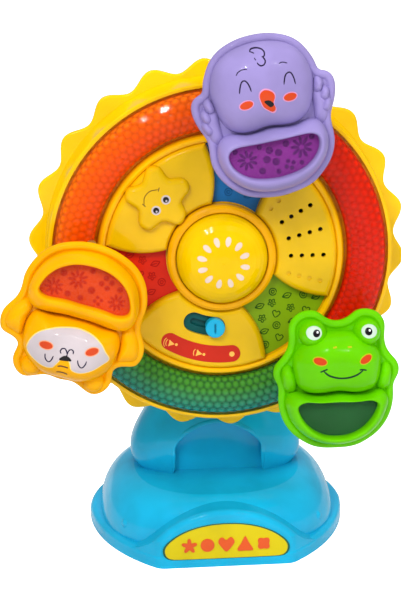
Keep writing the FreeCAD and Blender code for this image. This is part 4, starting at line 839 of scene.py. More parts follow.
# --- gondolas ---------------------------------------------------------------------------------
@dataclass
class Gondola:
    """An animal gondola: a ledged body, a pillow of a head, a framed window and its limbs.

    Its outlines are right halves, from top to bottom. Limbs are whole loops on the right side,
    each with its height over the ledge, and come mirrored as well. The drawing's origin is the
    pivot, moved by `shift`.
    """

    name: str
    tilt: float
    shift: Pair
    colour: Finish
    pane: Finish
    card: Finish
    body: list[Pair]
    head: list[Pair]
    frame: list[Pair]
    porthole: list[Pair]
    limbs: list[tuple[list[Pair], float]]
    bumps: list[tuple[float, float, float, float]]
    screw_tilt: float
    screws: list[Pair]
    head_centre: Pair = (0.0, 15.0)
    head_top: float = 61.5
    back: float = 37.0
    parting: float = 43.0
    rim: float = 48.4
    rim_round: float = 2.2
    taper: float = 0.32
    frame_top: float = 56.4
    frame_foot: float = 47.4
    card_level: float = 52.3
    sink: float = 2.32
    sink_radius: float = 2.9
    sink_edge: float = 0.6
    seam: Pair = (0.05, 0.3)
    lip: float = 0.9
    front_waist: float = 44.8
    rear_waist: float = 41.2
    back_round: float = 2.4
    ledge: tuple[Pair, ...] = ((2.9, 0.05), (3.4, 0.35), (3.9, 0.85), (4.4, 1.1))
    root: float = 1.6
    frame_lip: float = 1.4
    pane_growth: float = 1.2

    def seat(self) -> Seat:
        """The gondola hangs on its pin, tilted."""
        pivot = (np.array(JOINT_PLACES[self.name + "_pod"]) - HUB)[[0, 2]] / MM
        return Seat(self.tilt, tuple(pivot + self.shift))

    def piece(self, kind: str, skins: list[Skin], finishes: list[Finish], slot: Finish,
              stands_for: str = "") -> None:
        """Builds a piece that rides on the gondola.

        Args:
            kind: the piece's name after the animal's.
            skins: its surfaces.
            finishes: its materials.
            slot: the finish whose slot it would take; not used.
            stands_for: the node that it replaces, after the animal's name.
        """
        nodes = (f"{self.name}_{stands_for}",) if stands_for else ()
        build(f"{self.name}_{kind}", skins, self.seat(), finishes, self.name + "_pod",
              nodes)

    def lean(self, height: np.ndarray) -> np.ndarray:
        """How far the side is set in at a height, since it narrows to the back."""
        return self.taper * np.clip(self.rim - self.rim_round - height, 0, None)

    def layers(self, inset: np.ndarray, rise: np.ndarray, shrink: np.ndarray,
               floor: float) -> np.ndarray:
        """Rows of the outline moved inwards, then rows that shrink to the middle at one level.

        Args:
            inset: how far each row is moved in.
            rise: the height of each of them.
            shrink: the size of each row after them, as a share of the last one.
            floor: the height of those.

        Returns:
            The rows, (rows, count, 3).
        """
        rings = moved_in(Outline(mirrored(self.body)).around((0.0, 0.0), 2 * AROUND), inset)
        rings = np.concatenate((rings, shrink[:, None, None] * rings[-1][None]))
        return raised(rings, np.concatenate((rise, np.full(len(shrink), floor)))[:, None])

    def side(self, way: int, waist: float) -> tuple[np.ndarray, np.ndarray]:
        """Three rows of a leaning side, from the seam between the shells.

        Args:
            way: 1 for the front shell, -1 for the rear one.
            waist: the height of the last row.

        Returns:
            How far each row is set in, and its height.
        """
        rise = np.array([self.parting + way * gap for gap in self.seam] + [waist])
        return self.lean(rise) + np.array([self.lip, 0.0, 0.0]), rise

    def shell_base(self) -> Skin:
        """The front tray: leaning sides, a rounded edge, a ledge and a soft dip inside it.

        The edge is a quarter circle: r (1 - cos a) inwards and r (1 - sin a) below the rim.

        Returns:
            The tray.
        """
        bend = np.linspace(0, QUARTER, 9)
        side_in, side = self.side(1, self.front_waist)
        edge_in, edge = self.rim_round * (1 - np.cos(bend)), self.rim_round * (1 - np.sin(bend))
        ledge_in, ledge = np.array(self.ledge).T
        inset = np.concatenate((side_in, edge_in, ledge_in))
        rise = np.concatenate((side, self.rim - edge, self.rim - ledge))
        return Skin(self.layers(inset, rise, np.linspace(0.9, 0.1, 6), rise[-1]))

    def dish(self) -> Skin:
        """The rear shell: leaning sides, a rounded edge and a back with a well for each screw.

        The back is level but for the wells, whose depth falls off over a narrow edge at their
        radius.

        Returns:
            The shell.
        """
        bend = np.linspace(0, QUARTER, 7)
        side_in, side = self.side(-1, self.rear_waist)
        edge_in = self.lean(self.back + self.back_round) + self.back_round * (1 - np.cos(bend))
        rise = np.concatenate((side, self.back + self.back_round * (1 - np.sin(bend))))
        inset = np.concatenate((side_in, edge_in))
        points = self.layers(inset, rise, np.linspace(0.985, 0.02, 52), self.back)
        back = points[len(inset):]
        away = np.min([np.hypot(back[..., 0] - x, back[..., 1] - y)
                       for x, y in self.screw_spots()], axis=0)
        inside = (self.sink_radius + 0.5 * self.sink_edge - away) / self.sink_edge
        back[..., 2] += self.sink * np.clip(inside, 0, 1)
        return Skin(points)

    def screw_spots(self) -> np.ndarray:
        """The screws' places in this drawing; theirs is tilted by `screw_tilt` and not moved.

        Returns:
            The places, (count, 2).
        """
        spots = np.array([(side * x, y) for x, y in self.screws for side in (-1, 1)])
        shift = turned(np.array(self.shift), -self.tilt)
        return turned(spots, self.screw_tilt - self.tilt) - shift

    def head_form(self) -> Pillow:
        """The face's pillow."""
        line = Outline(mirrored(self.head)).around(self.head_centre)
        return Pillow(line, self.head_centre, self.rim - self.root, self.head_top)

    def limb_forms(self) -> list[Pillow]:
        """Fingers and paws, on both sides.

        Returns:
            A pillow for each.
        """
        forms = []
        for loop, proud in self.limbs:
            for side in (-1, 1):
                line = Outline([(side * x, y) for x, y in loop[::side]])
                centre = tuple(line.line().mean(axis=0))
                forms.append(Pillow(line.around(centre, 96), centre, self.rim - self.root,
                                    self.rim + proud, 2.2, 1.5))
        return forms

    def bump_forms(self) -> list[Pillow]:
        """Round rises such as eyes and ears.

        Returns:
            A pillow for each.
        """
        low = self.rim - self.root
        return [Pillow(ellipse((x, y), radius, radius, count=72), (x, y), low, top, 2.3, 1.8)
                for x, y, radius, top in self.bumps]

    def porthole_line(self, margin: float = 0.0) -> np.ndarray:
        """The window's outline, grown by a margin."""
        line = Outline(mirrored(self.porthole)).around(self.porthole_centre())
        return moved_in(line, [-margin])[0]

    def porthole_centre(self) -> Pair:
        """The middle of the window."""
        return 0.0, 0.5 * (self.porthole[0][1] + self.porthole[-1][1])

    def frame_form(self) -> Skin:
        """The window's frame: an arched band between the window and the frame's outline.

        u runs from the window (0) to the outside (1) as (1 - cos t) / 2, and the height is a
        straight foot plus a rise of (sin t)^p, p being 0.85 inside the crest and 0.6 outside
        it. The underside closes the ring.

        Returns:
            The band.
        """
        inner = self.porthole_line(0.4)
        outer = Outline(mirrored(self.frame)).around(self.porthole_centre())
        turn = np.linspace(0, math.pi, 26)
        share = 0.5 * (1 - np.cos(turn))
        inner_foot = self.card_level + self.frame_lip
        foot = inner_foot + (self.frame_foot - inner_foot) * share
        bow = np.sin(turn).clip(0) ** np.where(turn < QUARTER, 0.85, 0.6)
        rise = (self.frame_top - 0.5 * (inner_foot + self.frame_foot)) * bow
        share = np.concatenate((share, [1.0, 0.5, 0.0, 0.0]))
        under = self.frame_foot - 1.0
        closing = [under, under, self.frame_foot + 3.0, self.card_level]
        flat = inner[None] + share[:, None, None] * (outer - inner)[None]
        return Skin(raised(flat, np.concatenate((foot + rise, closing))[:, None]), ring=True)

    def build_shells(self) -> None:
        """The moulded front and the rear dish, which stand for the plain ones."""
        forms = [form.skin() for form in self.limb_forms() + self.bump_forms()]
        skins = [self.shell_base(), self.head_form().skin(34), self.frame_form()] + forms
        self.piece("front", skins, [self.colour], self.colour, "front_shell")
        self.piece("rear", [self.dish()], [self.colour], self.colour, "rear_shell")

    def build_window(self, prints: list[Skin], ink: Finish) -> None:
        """The picture card with its prints, and the clear pane over it.

        Args:
            prints: the card's flowers and dots.
            ink: what they are printed in.
        """
        middle = self.porthole_centre()
        line = self.porthole_line(self.pane_growth)
        card = Pillow(line, middle, self.card_level - 0.4, self.card_level, 8.0, 8.0)
        self.piece("picture_card", [card.skin(8)] + prints, [self.card, ink], self.card,
                   "window_card")
        pane = Pillow(line, middle, self.card_level + 0.9, self.card_level + 1.9, 6.0, 2.2)
        self.piece("clear_window", [pane.skin(12)], [self.pane], self.pane, "window")

    def build_face(self, skins: list[Skin], finishes: list[Finish]) -> None:
        """The printed face."""
        self.piece("face_print", skins, finishes, self.colour)

    def add_window(self) -> None:
        """The window over a plain card, unless an animal has its own."""
        self.build_window([], self.card)

    def add_face(self) -> None:
        """The face, which each animal has its own of."""

    def build(self) -> None:
        """The shells, the window and the face."""
        self.build_shells()
        self.add_window()
        self.add_face()

    def spot(self, outline: np.ndarray) -> Skin:
        """One flat print on the card."""
        return patch(outline, level(self.card_level), finish=1, rows=3)

    def blossom(self, centre: Pair, size: float) -> list[Skin]:
        """Four round petals.

        Args:
            centre: the middle of the flower.
            size: how far it reaches, nearly.

        Returns:
            The petals.
        """
        middles = [polar(0.78 * size, 20 + 90 * step) for step in range(4)]
        return [self.spot(ellipse((centre[0] + x, centre[1] + y), 0.44 * size, 0.44 * size))
                for x, y in middles]

    def burst(self, centre: Pair, size: float) -> list[Skin]:
        """A daisy of nine narrow petals.

        Args:
            centre: its middle.
            size: how far it reaches, nearly.

        Returns:
            The petals.
        """
        skins = []
        for angle in np.arange(9) * 40.0 + 10.0:
            x, y = polar(0.6 * size, angle)
            middle = (centre[0] + x, centre[1] + y)
            skins.append(self.spot(seed(middle, 0.84 * size, 0.38 * size, angle, 12)))
        return skins

    def dot(self, centre: Pair, size: float) -> list[Skin]:
        """A round spot."""
        return [self.spot(ellipse(centre, size, size, count=18))]


def blush(centre: Pair, turn: float, ground: Ground, edge: int, fill: int) -> list[Skin]:
    """A rosy cheek: an oval inside a slightly larger paler one."""
    return [patch(ellipse(centre, 3.7, 2.35, turn), ground, 0.05, edge),
            patch(ellipse(centre, 3.2, 1.85, turn), ground, 0.11, fill)]


class Bird(Gondola):
    """The lavender bird."""

    def __init__(self) -> None:
        """Takes the bird's outlines and finishes."""
        super().__init__(
            "bird", 10.5, (0.0, 0.0), Finish.BIRD, Finish.PANE_PURPLE, Finish.CARD_PURPLE,
            body=[(0.0, 39.9), (6.1, 39.5), (11.9, 38.1), (17.5, 35.6), (22.1, 31.7), (25.4, 26.6),
                  (27.7, 20.8), (29.0, 17.4), (31.9, 16.0), (34.5, 13.6), (35.5, 9.4), (34.9, 5.0),
                  (33.2, 0.0), (31.1, -4.8), (30.6, -10.7), (30.8, -16.8), (29.4, -22.7),
                  (26.5, -28.0), (22.4, -32.5), (17.6, -36.2), (12.0, -38.4), (6.0, -39.6),
                  (0.0, -40.1)],
            head=[(0.0, 36.7), (7.6, 35.9), (14.9, 33.5), (20.8, 28.7), (24.2, 21.9), (25.2, 14.4),
                  (23.9, 6.8), (21.0, -0.3), (15.2, -4.9), (7.6, -5.6), (0.0, -4.7)],
            frame=[(0.0, -5.2), (6.1, -5.9), (12.1, -6.2), (18.1, -4.9), (23.9, -6.0),
                   (27.0, -11.0), (27.3, -17.1), (25.5, -22.9), (22.0, -27.9), (17.4, -31.9),
                   (12.0, -34.7), (6.1, -36.2), (0.0, -36.6)],
            porthole=[(0.0, -11.5), (4.4, -11.5), (8.8, -11.4), (13.1, -11.3), (17.5, -11.3),
                      (21.3, -13.1), (21.6, -17.3), (19.7, -21.2), (16.6, -24.3), (12.9, -26.6),
                      (8.7, -27.9), (4.4, -28.6), (0.0, -28.9)],
            limbs=[([(24.6, 11.0), (27.0, 12.4), (30.4, 8.6), (31.8, 3.4), (30.2, -2.6),
                     (27.0, -8.6), (24.0, -8.0), (23.0, 0.0)], 2.4),
                   ([(24.6, 12.2), (26.8, 14.7), (29.2, 13.2), (29.3, 10.0), (27.4, 6.4),
                     (24.8, 6.6)], 4.1),
                   ([(27.2, 8.0), (29.4, 9.8), (31.7, 8.2), (31.7, 5.0), (29.4, 1.6),
                     (26.6, 2.4)], 4.0),
                   ([(28.2, 3.2), (30.3, 4.6), (32.3, 2.8), (31.9, -0.4), (29.0, -3.8),
                     (26.2, -3.0)], 3.6)],
            bumps=[], screw_tilt=10.5, screws=[(15.0, 24.0), (0.0, -36.2)])

    def add_window(self) -> None:
        """The window over a card of flowers and dots."""
        prints = (self.blossom((-1.2, -18.6), 4.2) + self.burst((13.4, -17.2), 5.4)
                  + self.burst((-13.6, -18.2), 5.0) + self.dot((6.2, -14.0), 1.7)
                  + self.dot((-7.4, -24.8), 1.7) + self.blossom((6.4, -24.4), 2.5)
                  + self.dot((19.2, -13.2), 1.4) + self.dot((-18.8, -13.0), 1.3)
                  + self.dot((-6.8, -13.2), 1.3) + self.dot((0.4, -26.6), 1.3)
                  + self.dot((12.2, -24.6), 1.2))
        self.build_window(prints, Finish.PRINT_PURPLE)

    def add_face(self) -> None:
        """The bird's printed face."""
        ground = self.head_form().height
        lines = [[(-12.0, 15.3), (-11.2, 18.1), (-10.0, 20.5), (-8.6, 21.0), (-7.5, 20.0),
                  (-6.7, 17.8), (-6.3, 15.3)],
                 [(9.5, 15.4), (10.4, 18.4), (11.5, 20.1), (12.9, 20.6), (14.0, 19.9),
                  (14.8, 17.6), (15.1, 14.3)],
                 [(-3.3, 33.3), (-2.1, 34.3), (0.5, 34.3), (2.6, 33.3), (3.5, 31.7), (2.9, 30.2),
                  (1.6, 30.1)],
                 [(2.1, 30.0), (2.9, 28.7), (2.8, 27.4), (1.8, 26.4), (0.4, 26.3), (-0.6, 27.2),
                  (-1.0, 28.1)]]
        thin = [[(-11.9, 23.9), (-10.7, 25.3), (-9.0, 26.0), (-7.3, 26.1), (-6.2, 25.8)],
                [(9.0, 25.5), (10.4, 25.8), (11.7, 25.5), (13.1, 24.8)],
                [(-3.3, 33.3), (-2.3, 32.9), (-1.3, 32.2)], [(-1.8, 30.3), (-1.3, 29.1)]]
        face = [stroke(line, 0.7, ground) for line in lines]
        face += [stroke(line, 0.5, ground) for line in thin]
        face += blush((-9.7, 9.4), 10.0, ground, 1, 2) + blush((11.5, 9.1), 0.0, ground, 1, 2)
        beak = Outline([(-2.5, 13.4), (-0.6, 14.8), (2.4, 14.0), (4.1, 12.0), (4.0, 10.2),
                        (3.1, 8.0), (3.6, 4.8), (2.4, 3.7), (0.3, 4.9), (-1.7, 6.8), (-2.6, 9.4)])
        middle = (0.6, 9.2)
        bill = beak.around(middle, 56)
        face += [patch(grown(bill, middle, 1.13), ground, 0.06, 1), patch(bill, ground, 0.12, 2)]
        mouth = Outline([(-1.2, 9.6), (0.7, 9.8), (2.6, 8.5), (3.2, 7.2), (1.5, 6.3), (0.0, 7.6)])
        face.append(patch(mouth.around((1.1, 8.1), 32), ground, 0.2, 3))
        self.build_face(face, [Finish.INK_PLUM, Finish.BLUSH_LILAC, Finish.BLUSH, Finish.INK])


class Cub(Gondola):
    """The orange cub, which hangs head down."""

    def __init__(self) -> None:
        """Takes the cub's outlines and finishes."""
        super().__init__(
            "cub", 161.5, (2.13, -0.71), Finish.CUB, Finish.PANE_CORAL, Finish.CARD_CORAL,
            body=[(0.0, 34.8), (6.4, 34.4), (12.3, 36.4), (18.3, 38.0), (23.6, 34.6), (25.5, 28.6),
                  (25.3, 22.2), (28.8, 19.6), (34.7, 17.5), (37.0, 11.8), (35.9, 5.5), (32.7, 0.0),
                  (31.3, -6.0), (31.5, -12.4), (30.2, -18.6), (27.6, -24.5), (23.6, -29.5),
                  (18.5, -33.3), (12.6, -35.8), (6.4, -37.4), (0.0, -37.9)],
            head=[(0.0, 32.8), (6.9, 32.8), (13.6, 31.3), (19.1, 27.3), (22.9, 21.5), (24.2, 14.7),
                  (24.1, 7.8), (20.6, 2.3), (13.8, 1.9), (6.9, 1.1), (0.0, 0.9)],
            frame=[(0.0, 0.4), (6.4, 0.4), (12.8, 1.0), (19.2, 1.4), (25.2, -0.3), (27.9, -5.9),
                   (27.8, -12.2), (26.0, -18.4), (22.8, -23.9), (18.1, -28.3), (12.5, -31.3),
                   (6.4, -33.1), (0.0, -33.8)],
            porthole=[(0.0, -8.2), (4.6, -8.3), (9.2, -8.3), (13.7, -7.9), (18.3, -7.7),
                      (22.2, -9.6), (21.8, -14.1), (19.8, -18.2), (16.9, -21.8), (13.2, -24.5),
                      (9.1, -26.4), (4.6, -27.4), (0.0, -27.7)],
            limbs=[([(25.6, -2.2), (29.4, -0.6), (32.6, 3.6), (34.4, 8.6), (34.8, 13.0),
                     (32.4, 15.8), (28.6, 17.0), (25.6, 17.8), (24.4, 12.0), (23.6, 5.0),
                     (23.4, -0.6)], 3.6)],
            bumps=[(-17.0, 31.2, 5.4, 51.8), (15.6, 31.2, 5.4, 51.8)], screw_tilt=164.0,
            screws=[(14.0, 20.0), (0.0, -35.0)],
            head_centre=(0.0, 17.0))

    def add_window(self) -> None:
        """The window over a card of flowers and dots."""
        prints = (self.blossom((-8.2, -21.4), 3.3) + self.burst((6.0, -19.4), 5.0)
                  + self.burst((-15.6, -13.2), 4.4) + self.burst((16.2, -12.6), 4.6)
                  + self.dot((-2.0, -15.8), 1.9) + self.dot((2.2, -10.6), 1.5)
                  + self.dot((13.4, -20.6), 1.8) + self.blossom((-6.6, -11.6), 2.2)
                  + self.dot((-15.4, -20.0), 1.5) + self.dot((8.8, -11.0), 1.6)
                  + self.dot((0.0, -25.4), 1.5))
        self.build_window(prints, Finish.PRINT_RED)

    def add_face(self) -> None:
        """The cub's printed face."""
        ground = self.head_form().height
        mask = Outline([(20.2, 21.2), (20.4, 18.1), (19.3, 14.1), (17.0, 10.5), (13.3, 7.7),
                        (8.4, 5.8), (3.3, 4.5), (-2.1, 4.0), (-6.7, 4.6), (-11.1, 6.1),
                        (-14.5, 8.3), (-17.5, 11.8), (-20.0, 15.3), (-18.3, 17.2), (-16.1, 19.3),
                        (-14.0, 21.4), (-11.2, 23.3), (-8.2, 24.5), (-5.4, 24.6), (-3.3, 23.6),
                        (-2.2, 21.3), (-1.1, 19.7), (1.5, 19.4), (3.5, 20.4), (4.4, 22.5),
                        (5.2, 24.6), (6.8, 25.9), (9.2, 26.4), (12.0, 26.1), (15.4, 24.8),
                        (18.4, 23.2)])
        line = mask.around((0.0, 12.5), 160)
        proud = 0.12
        face = [patch(moved_in(line, [-0.45])[0], ground, 0.5 * proud, 1, 30),
                patch(line, ground, proud, 2, 30)]

        def paper(flat: np.ndarray) -> np.ndarray:
            """The mask's own surface."""
            return ground(flat) + proud

        face += blush((12.0, 15.2), 8.0, paper, 3, 4) + blush((-10.6, 12.1), 28.0, paper, 3, 4)
        eyes = [[(11.3, 19.4), (10.6, 21.7), (9.2, 23.0), (8.1, 22.9), (7.4, 21.4), (7.1, 19.2)],
                [(-4.9, 17.9), (-5.8, 20.0), (-7.3, 21.4), (-8.4, 21.2), (-9.2, 19.5),
                 (-9.4, 17.4)],
                [(3.8, 17.0), (4.5, 15.8), (4.1, 14.4), (2.7, 14.0), (1.6, 15.0), (0.8, 16.6)],
                [(0.8, 16.6), (0.7, 14.7), (-0.3, 13.6), (-1.6, 14.1), (-1.9, 15.6)],
                [(0.8, 16.6), (0.9, 17.9)]]
        face += [stroke(points, 0.66, paper, finish=5) for points in eyes]
        nose = Outline([(4.0, 20.0), (2.9, 18.3), (1.1, 17.3), (-0.7, 17.8), (-2.1, 19.0),
                        (0.9, 20.0)])
        face.append(patch(nose.around((0.9, 18.9), 40), paper, 0.12, 0))
        stripes = [[(3.6, 24.1), (2.1, 23.4), (-0.1, 23.3), (-1.7, 23.4)],
                   [(3.4, 27.8), (1.7, 27.1), (-0.6, 27.0), (-2.4, 27.4)]]
        face += [stroke(points, 0.85, ground, finish=6) for points in stripes]
        self.build_face(face, [Finish.INK, Finish.MASK_EDGE, Finish.MASK, Finish.BLUSH_EDGE,
                               Finish.BLUSH, Finish.INK_PLUM, Finish.INK_BROWN])


class Frog(Gondola):
    """The green frog."""

    def __init__(self) -> None:
        """Takes the frog's outlines and finishes."""
        super().__init__(
            "frog", 0.0, (0.25, 0.0), Finish.FROG, Finish.PANE_GREEN, Finish.CARD_GREEN,
            body=[(0.0, 27.7), (5.4, 29.2), (10.2, 32.6), (16.0, 33.2), (21.3, 30.8), (24.4, 26.0),
                  (24.6, 20.1), (25.2, 14.3), (27.9, 9.1), (31.5, 4.5), (32.3, -1.3), (30.1, -6.7),
                  (29.9, -12.5), (29.5, -18.4), (28.0, -24.0), (25.3, -29.2), (21.5, -33.7),
                  (16.8, -37.3), (11.6, -40.0), (5.9, -41.2), (0.0, -41.4)],
            head=[(0.0, 22.6), (6.5, 22.3), (12.7, 20.1), (17.8, 16.0), (21.9, 11.0), (22.8, 4.5),
                  (22.2, -2.0), (19.1, -7.6), (13.0, -10.0), (6.5, -9.9), (0.0, -9.2)],
            frame=[(0.0, -9.5), (5.7, -10.2), (11.5, -10.7), (17.2, -9.9), (22.9, -9.1),
                   (26.5, -13.1), (25.9, -18.8), (23.9, -24.2), (20.6, -29.0), (16.4, -32.9),
                   (11.3, -35.6), (5.8, -37.2), (0.0, -37.7)],
            porthole=[(0.0, -13.5), (4.1, -13.6), (8.2, -13.6), (12.3, -13.3), (16.4, -13.3),
                      (19.8, -15.1), (19.2, -19.1), (17.3, -22.7), (14.8, -25.9), (11.6, -28.6),
                      (8.0, -30.6), (4.1, -31.7), (0.0, -32.0)],
            limbs=[([(25.0, 5.2), (27.4, 4.0), (28.6, 0.6), (28.2, -4.4), (26.4, -8.8),
                     (22.0, -9.8), (20.2, -4.0), (22.0, 2.4)], 4.2)],
            bumps=[(-12.7, 21.7, 7.3, 56.0), (15.1, 21.5, 7.2, 56.0)], screw_tilt=1.5,
            screws=[(13.0, 12.0), (0.0, -36.0)],
            head_centre=(0.0, 6.5))

    def add_face(self) -> None:
        """The frog's printed face."""
        head = self.head_form().height
        eyes = [form.height for form in self.bump_forms()]

        def ground(flat: np.ndarray) -> np.ndarray:
            """The highest of the head and the two eyes."""
            return np.maximum.reduce([head(flat)] + [eye(flat) for eye in eyes])

        whites, pupils = ((-12.8, 23.8), (15.2, 23.7)), ((-11.7, 23.8), (14.7, 23.9))
        face = [patch(ellipse(spot, 4.0, 3.3), ground, 0.07, 1) for spot in whites]
        for x, y in pupils:
            face.append(patch(ellipse((x, y), 1.85, 1.85), ground, 0.14, 2))
            face.append(patch(ellipse((x + 0.5, y + 0.6), 0.55, 0.55, count=16),
                              ground, 0.2, 3, 4))
        face += blush((-10.4, 10.4), -8.0, head, 4, 5) + blush((13.0, 10.4), 20.0, head, 4, 5)
        smile = [(-8.8, 5.6), (-6.5, 3.5), (-3.4, 2.2), (0.2, 1.5), (4.3, 1.8), (8.0, 2.9),
                 (10.4, 4.3), (11.6, 5.2)]
        ends = [[(-10.4, 4.9), (-8.6, 5.8), (-6.8, 6.6)], [(9.4, 5.5), (11.3, 5.4), (13.4, 4.7)]]
        nostrils = [[(-3.8, 16.9), (-1.8, 17.3)], [(3.6, 17.1), (5.8, 17.0)]]
        face.append(stroke(smile, 1.05, head))
        face += [stroke(line, 0.85, head) for line in ends]
        face += [stroke(line, 0.8, head, finish=4) for line in nostrils]
        self.build_face(face, [Finish.INK_PINE, Finish.EYE_WHITE, Finish.INK, Finish.SHINE,
                               Finish.BLUSH_GREEN, Finish.BLUSH])


# --- wheel ------------------------------------------------------------------------------------
@dataclass
class Lining:
    """The bubbled lining behind one of the outer windows, an arched part of a ring."""

    name: str
    centre: float
    finish: Finish
    outer: float = 85.9
    inner: float = 66.1
    seat: float = 14.5
    top: float = 22.6
    wall: float = 1.0
    half_angle: float = 50.8
    pitch: float = 4.1
    bubble: float = 0.75
    bubble_reach: float = 0.56
    bubble_shape: float = 0.7
    bow: float = 0.6
    fade: float = 0.5

    def arch(self, turns: np.ndarray, wall: float = 0.0) -> tuple[np.ndarray, np.ndarray]:
        """The arched section: r = middle + half * cos t, z = seat + rise * (sin t)^bow.

        Args:
            turns: t, from 0 at the outer edge to pi at the inner one.
            wall: how far the section lies inside the outermost one.

        Returns:
            The radius and the height for each t.
        """
        middle, half = 0.5 * (self.outer + self.inner), 0.5 * (self.outer - self.inner)
        rise = (self.top - wall - self.seat) * np.sin(turns).clip(0) ** self.bow
        return middle + (half - wall) * np.cos(turns), self.seat + rise

    def build(self) -> None:
        """An arched ring, bubbled on its face.

        Round the section runs the arch, and then the same one wall lower. The bubbles stand out
        from it along (cos t, sin t) and fade towards both edges.
        """
        over = np.linspace(0, math.pi, 64)
        sweep = np.radians(np.linspace(-self.half_angle, self.half_angle, 420) + self.centre)
        radius, height = self.arch(over)
        length = np.concatenate(([0.0], np.cumsum(np.hypot(np.diff(radius), np.diff(height)))))
        bump = self.honeycomb(sweep[:, None] * 0.5 * (self.outer + self.inner), length[None])
        proud = bump * np.clip(np.minimum(over, math.pi - over) / self.fade, 0, 1) * self.bubble
        under = [np.tile(row, (len(sweep), 1)) for row in self.arch(over[::-8], self.wall)]
        ring_r = np.hstack((radius + proud * np.cos(over), under[0]))
        ring_z = np.hstack((height + proud * np.sin(over), under[1]))
        rays = sweep[:, None]
        points = np.stack((ring_r * np.cos(rays), ring_r * np.sin(rays), ring_z), axis=-1)
        share = np.clip((radius - self.inner) / (self.outer - self.inner), 0, 1)
        plain = np.zeros_like(under[0])
        across = np.hstack((np.tile(share, (len(sweep), 1)), plain))
        # the bubble attribute holds the bubbles' height, by which the lining's finish paints shade
        # between them
        skin = Skin(points, values={"across": across, "bubble": np.hstack((bump, plain))})
        build("bubble_lining_" + self.name, [skin], WHEEL_SEAT, [self.finish], "wheel",
              ("reflector_" + self.name,))

    def honeycomb(self, along: np.ndarray, across: np.ndarray) -> np.ndarray:
        """The bubbles' height on a honeycomb: (1 - (d / reach)^2)^shape.

        The nearer of two interleaved rectangular lattices gives the distance d.

        Args:
            along: the way round the ring, in millimetres.
            across: the way over the arch.

        Returns:
            The height, 0 to 1, at each place.
        """
        tall = self.pitch * math.sqrt(3)
        near = np.inf
        for shift in (0.0, 0.5):
            a = (along / self.pitch + shift) % 1.0 - 0.5
            b = (across / tall + shift) % 1.0 - 0.5
            near = np.minimum(near, (a * self.pitch) ** 2 + (b * tall) ** 2)
        reach = self.bubble_reach * self.pitch
        return np.clip(1 - near / reach ** 2, 0, 1) ** self.bubble_shape


class Motif(Enum):
    """The line drawings on the films."""

    LEAF = "leaf"
    HEART = "heart"
    RING = "ring"
    FLOWER = "flower"

    def strokes(self) -> list[list[Pair]]:
        """The drawing about its own middle.

        A flower is r = 1.7 + 0.5 cos 5a about a ring; a leaf and a heart are two sides each.

        Returns:
            The points of each of its strokes.
        """
        if self is Motif.LEAF:
            side = [(-2.2, -1.4), (-0.8, 1.2), (2.2, 1.8)]
            return [side, [(-2.2, -1.4), (1.0, -1.0), (2.2, 1.8)], [(-2.2, -1.4), (1.0, 0.7)]]
        if self is Motif.HEART:
            right = [(0.0, 0.9), (1.0, 1.8), (2.0, 0.9), (1.2, -0.8), (0.0, -2.0)]
            return [right, [(-x, y) for x, y in right]]
        if self is Motif.RING:
            return [ellipse((0, 0), size, size, count=13).tolist() + [(size, 0.0)]
                    for size in (1.9, 0.8)]
        turns = np.linspace(0, FULL_CIRCLE, 41)
        petals = on_rays(1.7 + 0.5 * np.cos(5 * turns), turns).tolist()
        return [petals, ellipse((0, 0), 0.6, 0.6, count=9).tolist() + [(0.6, 0.0)]]


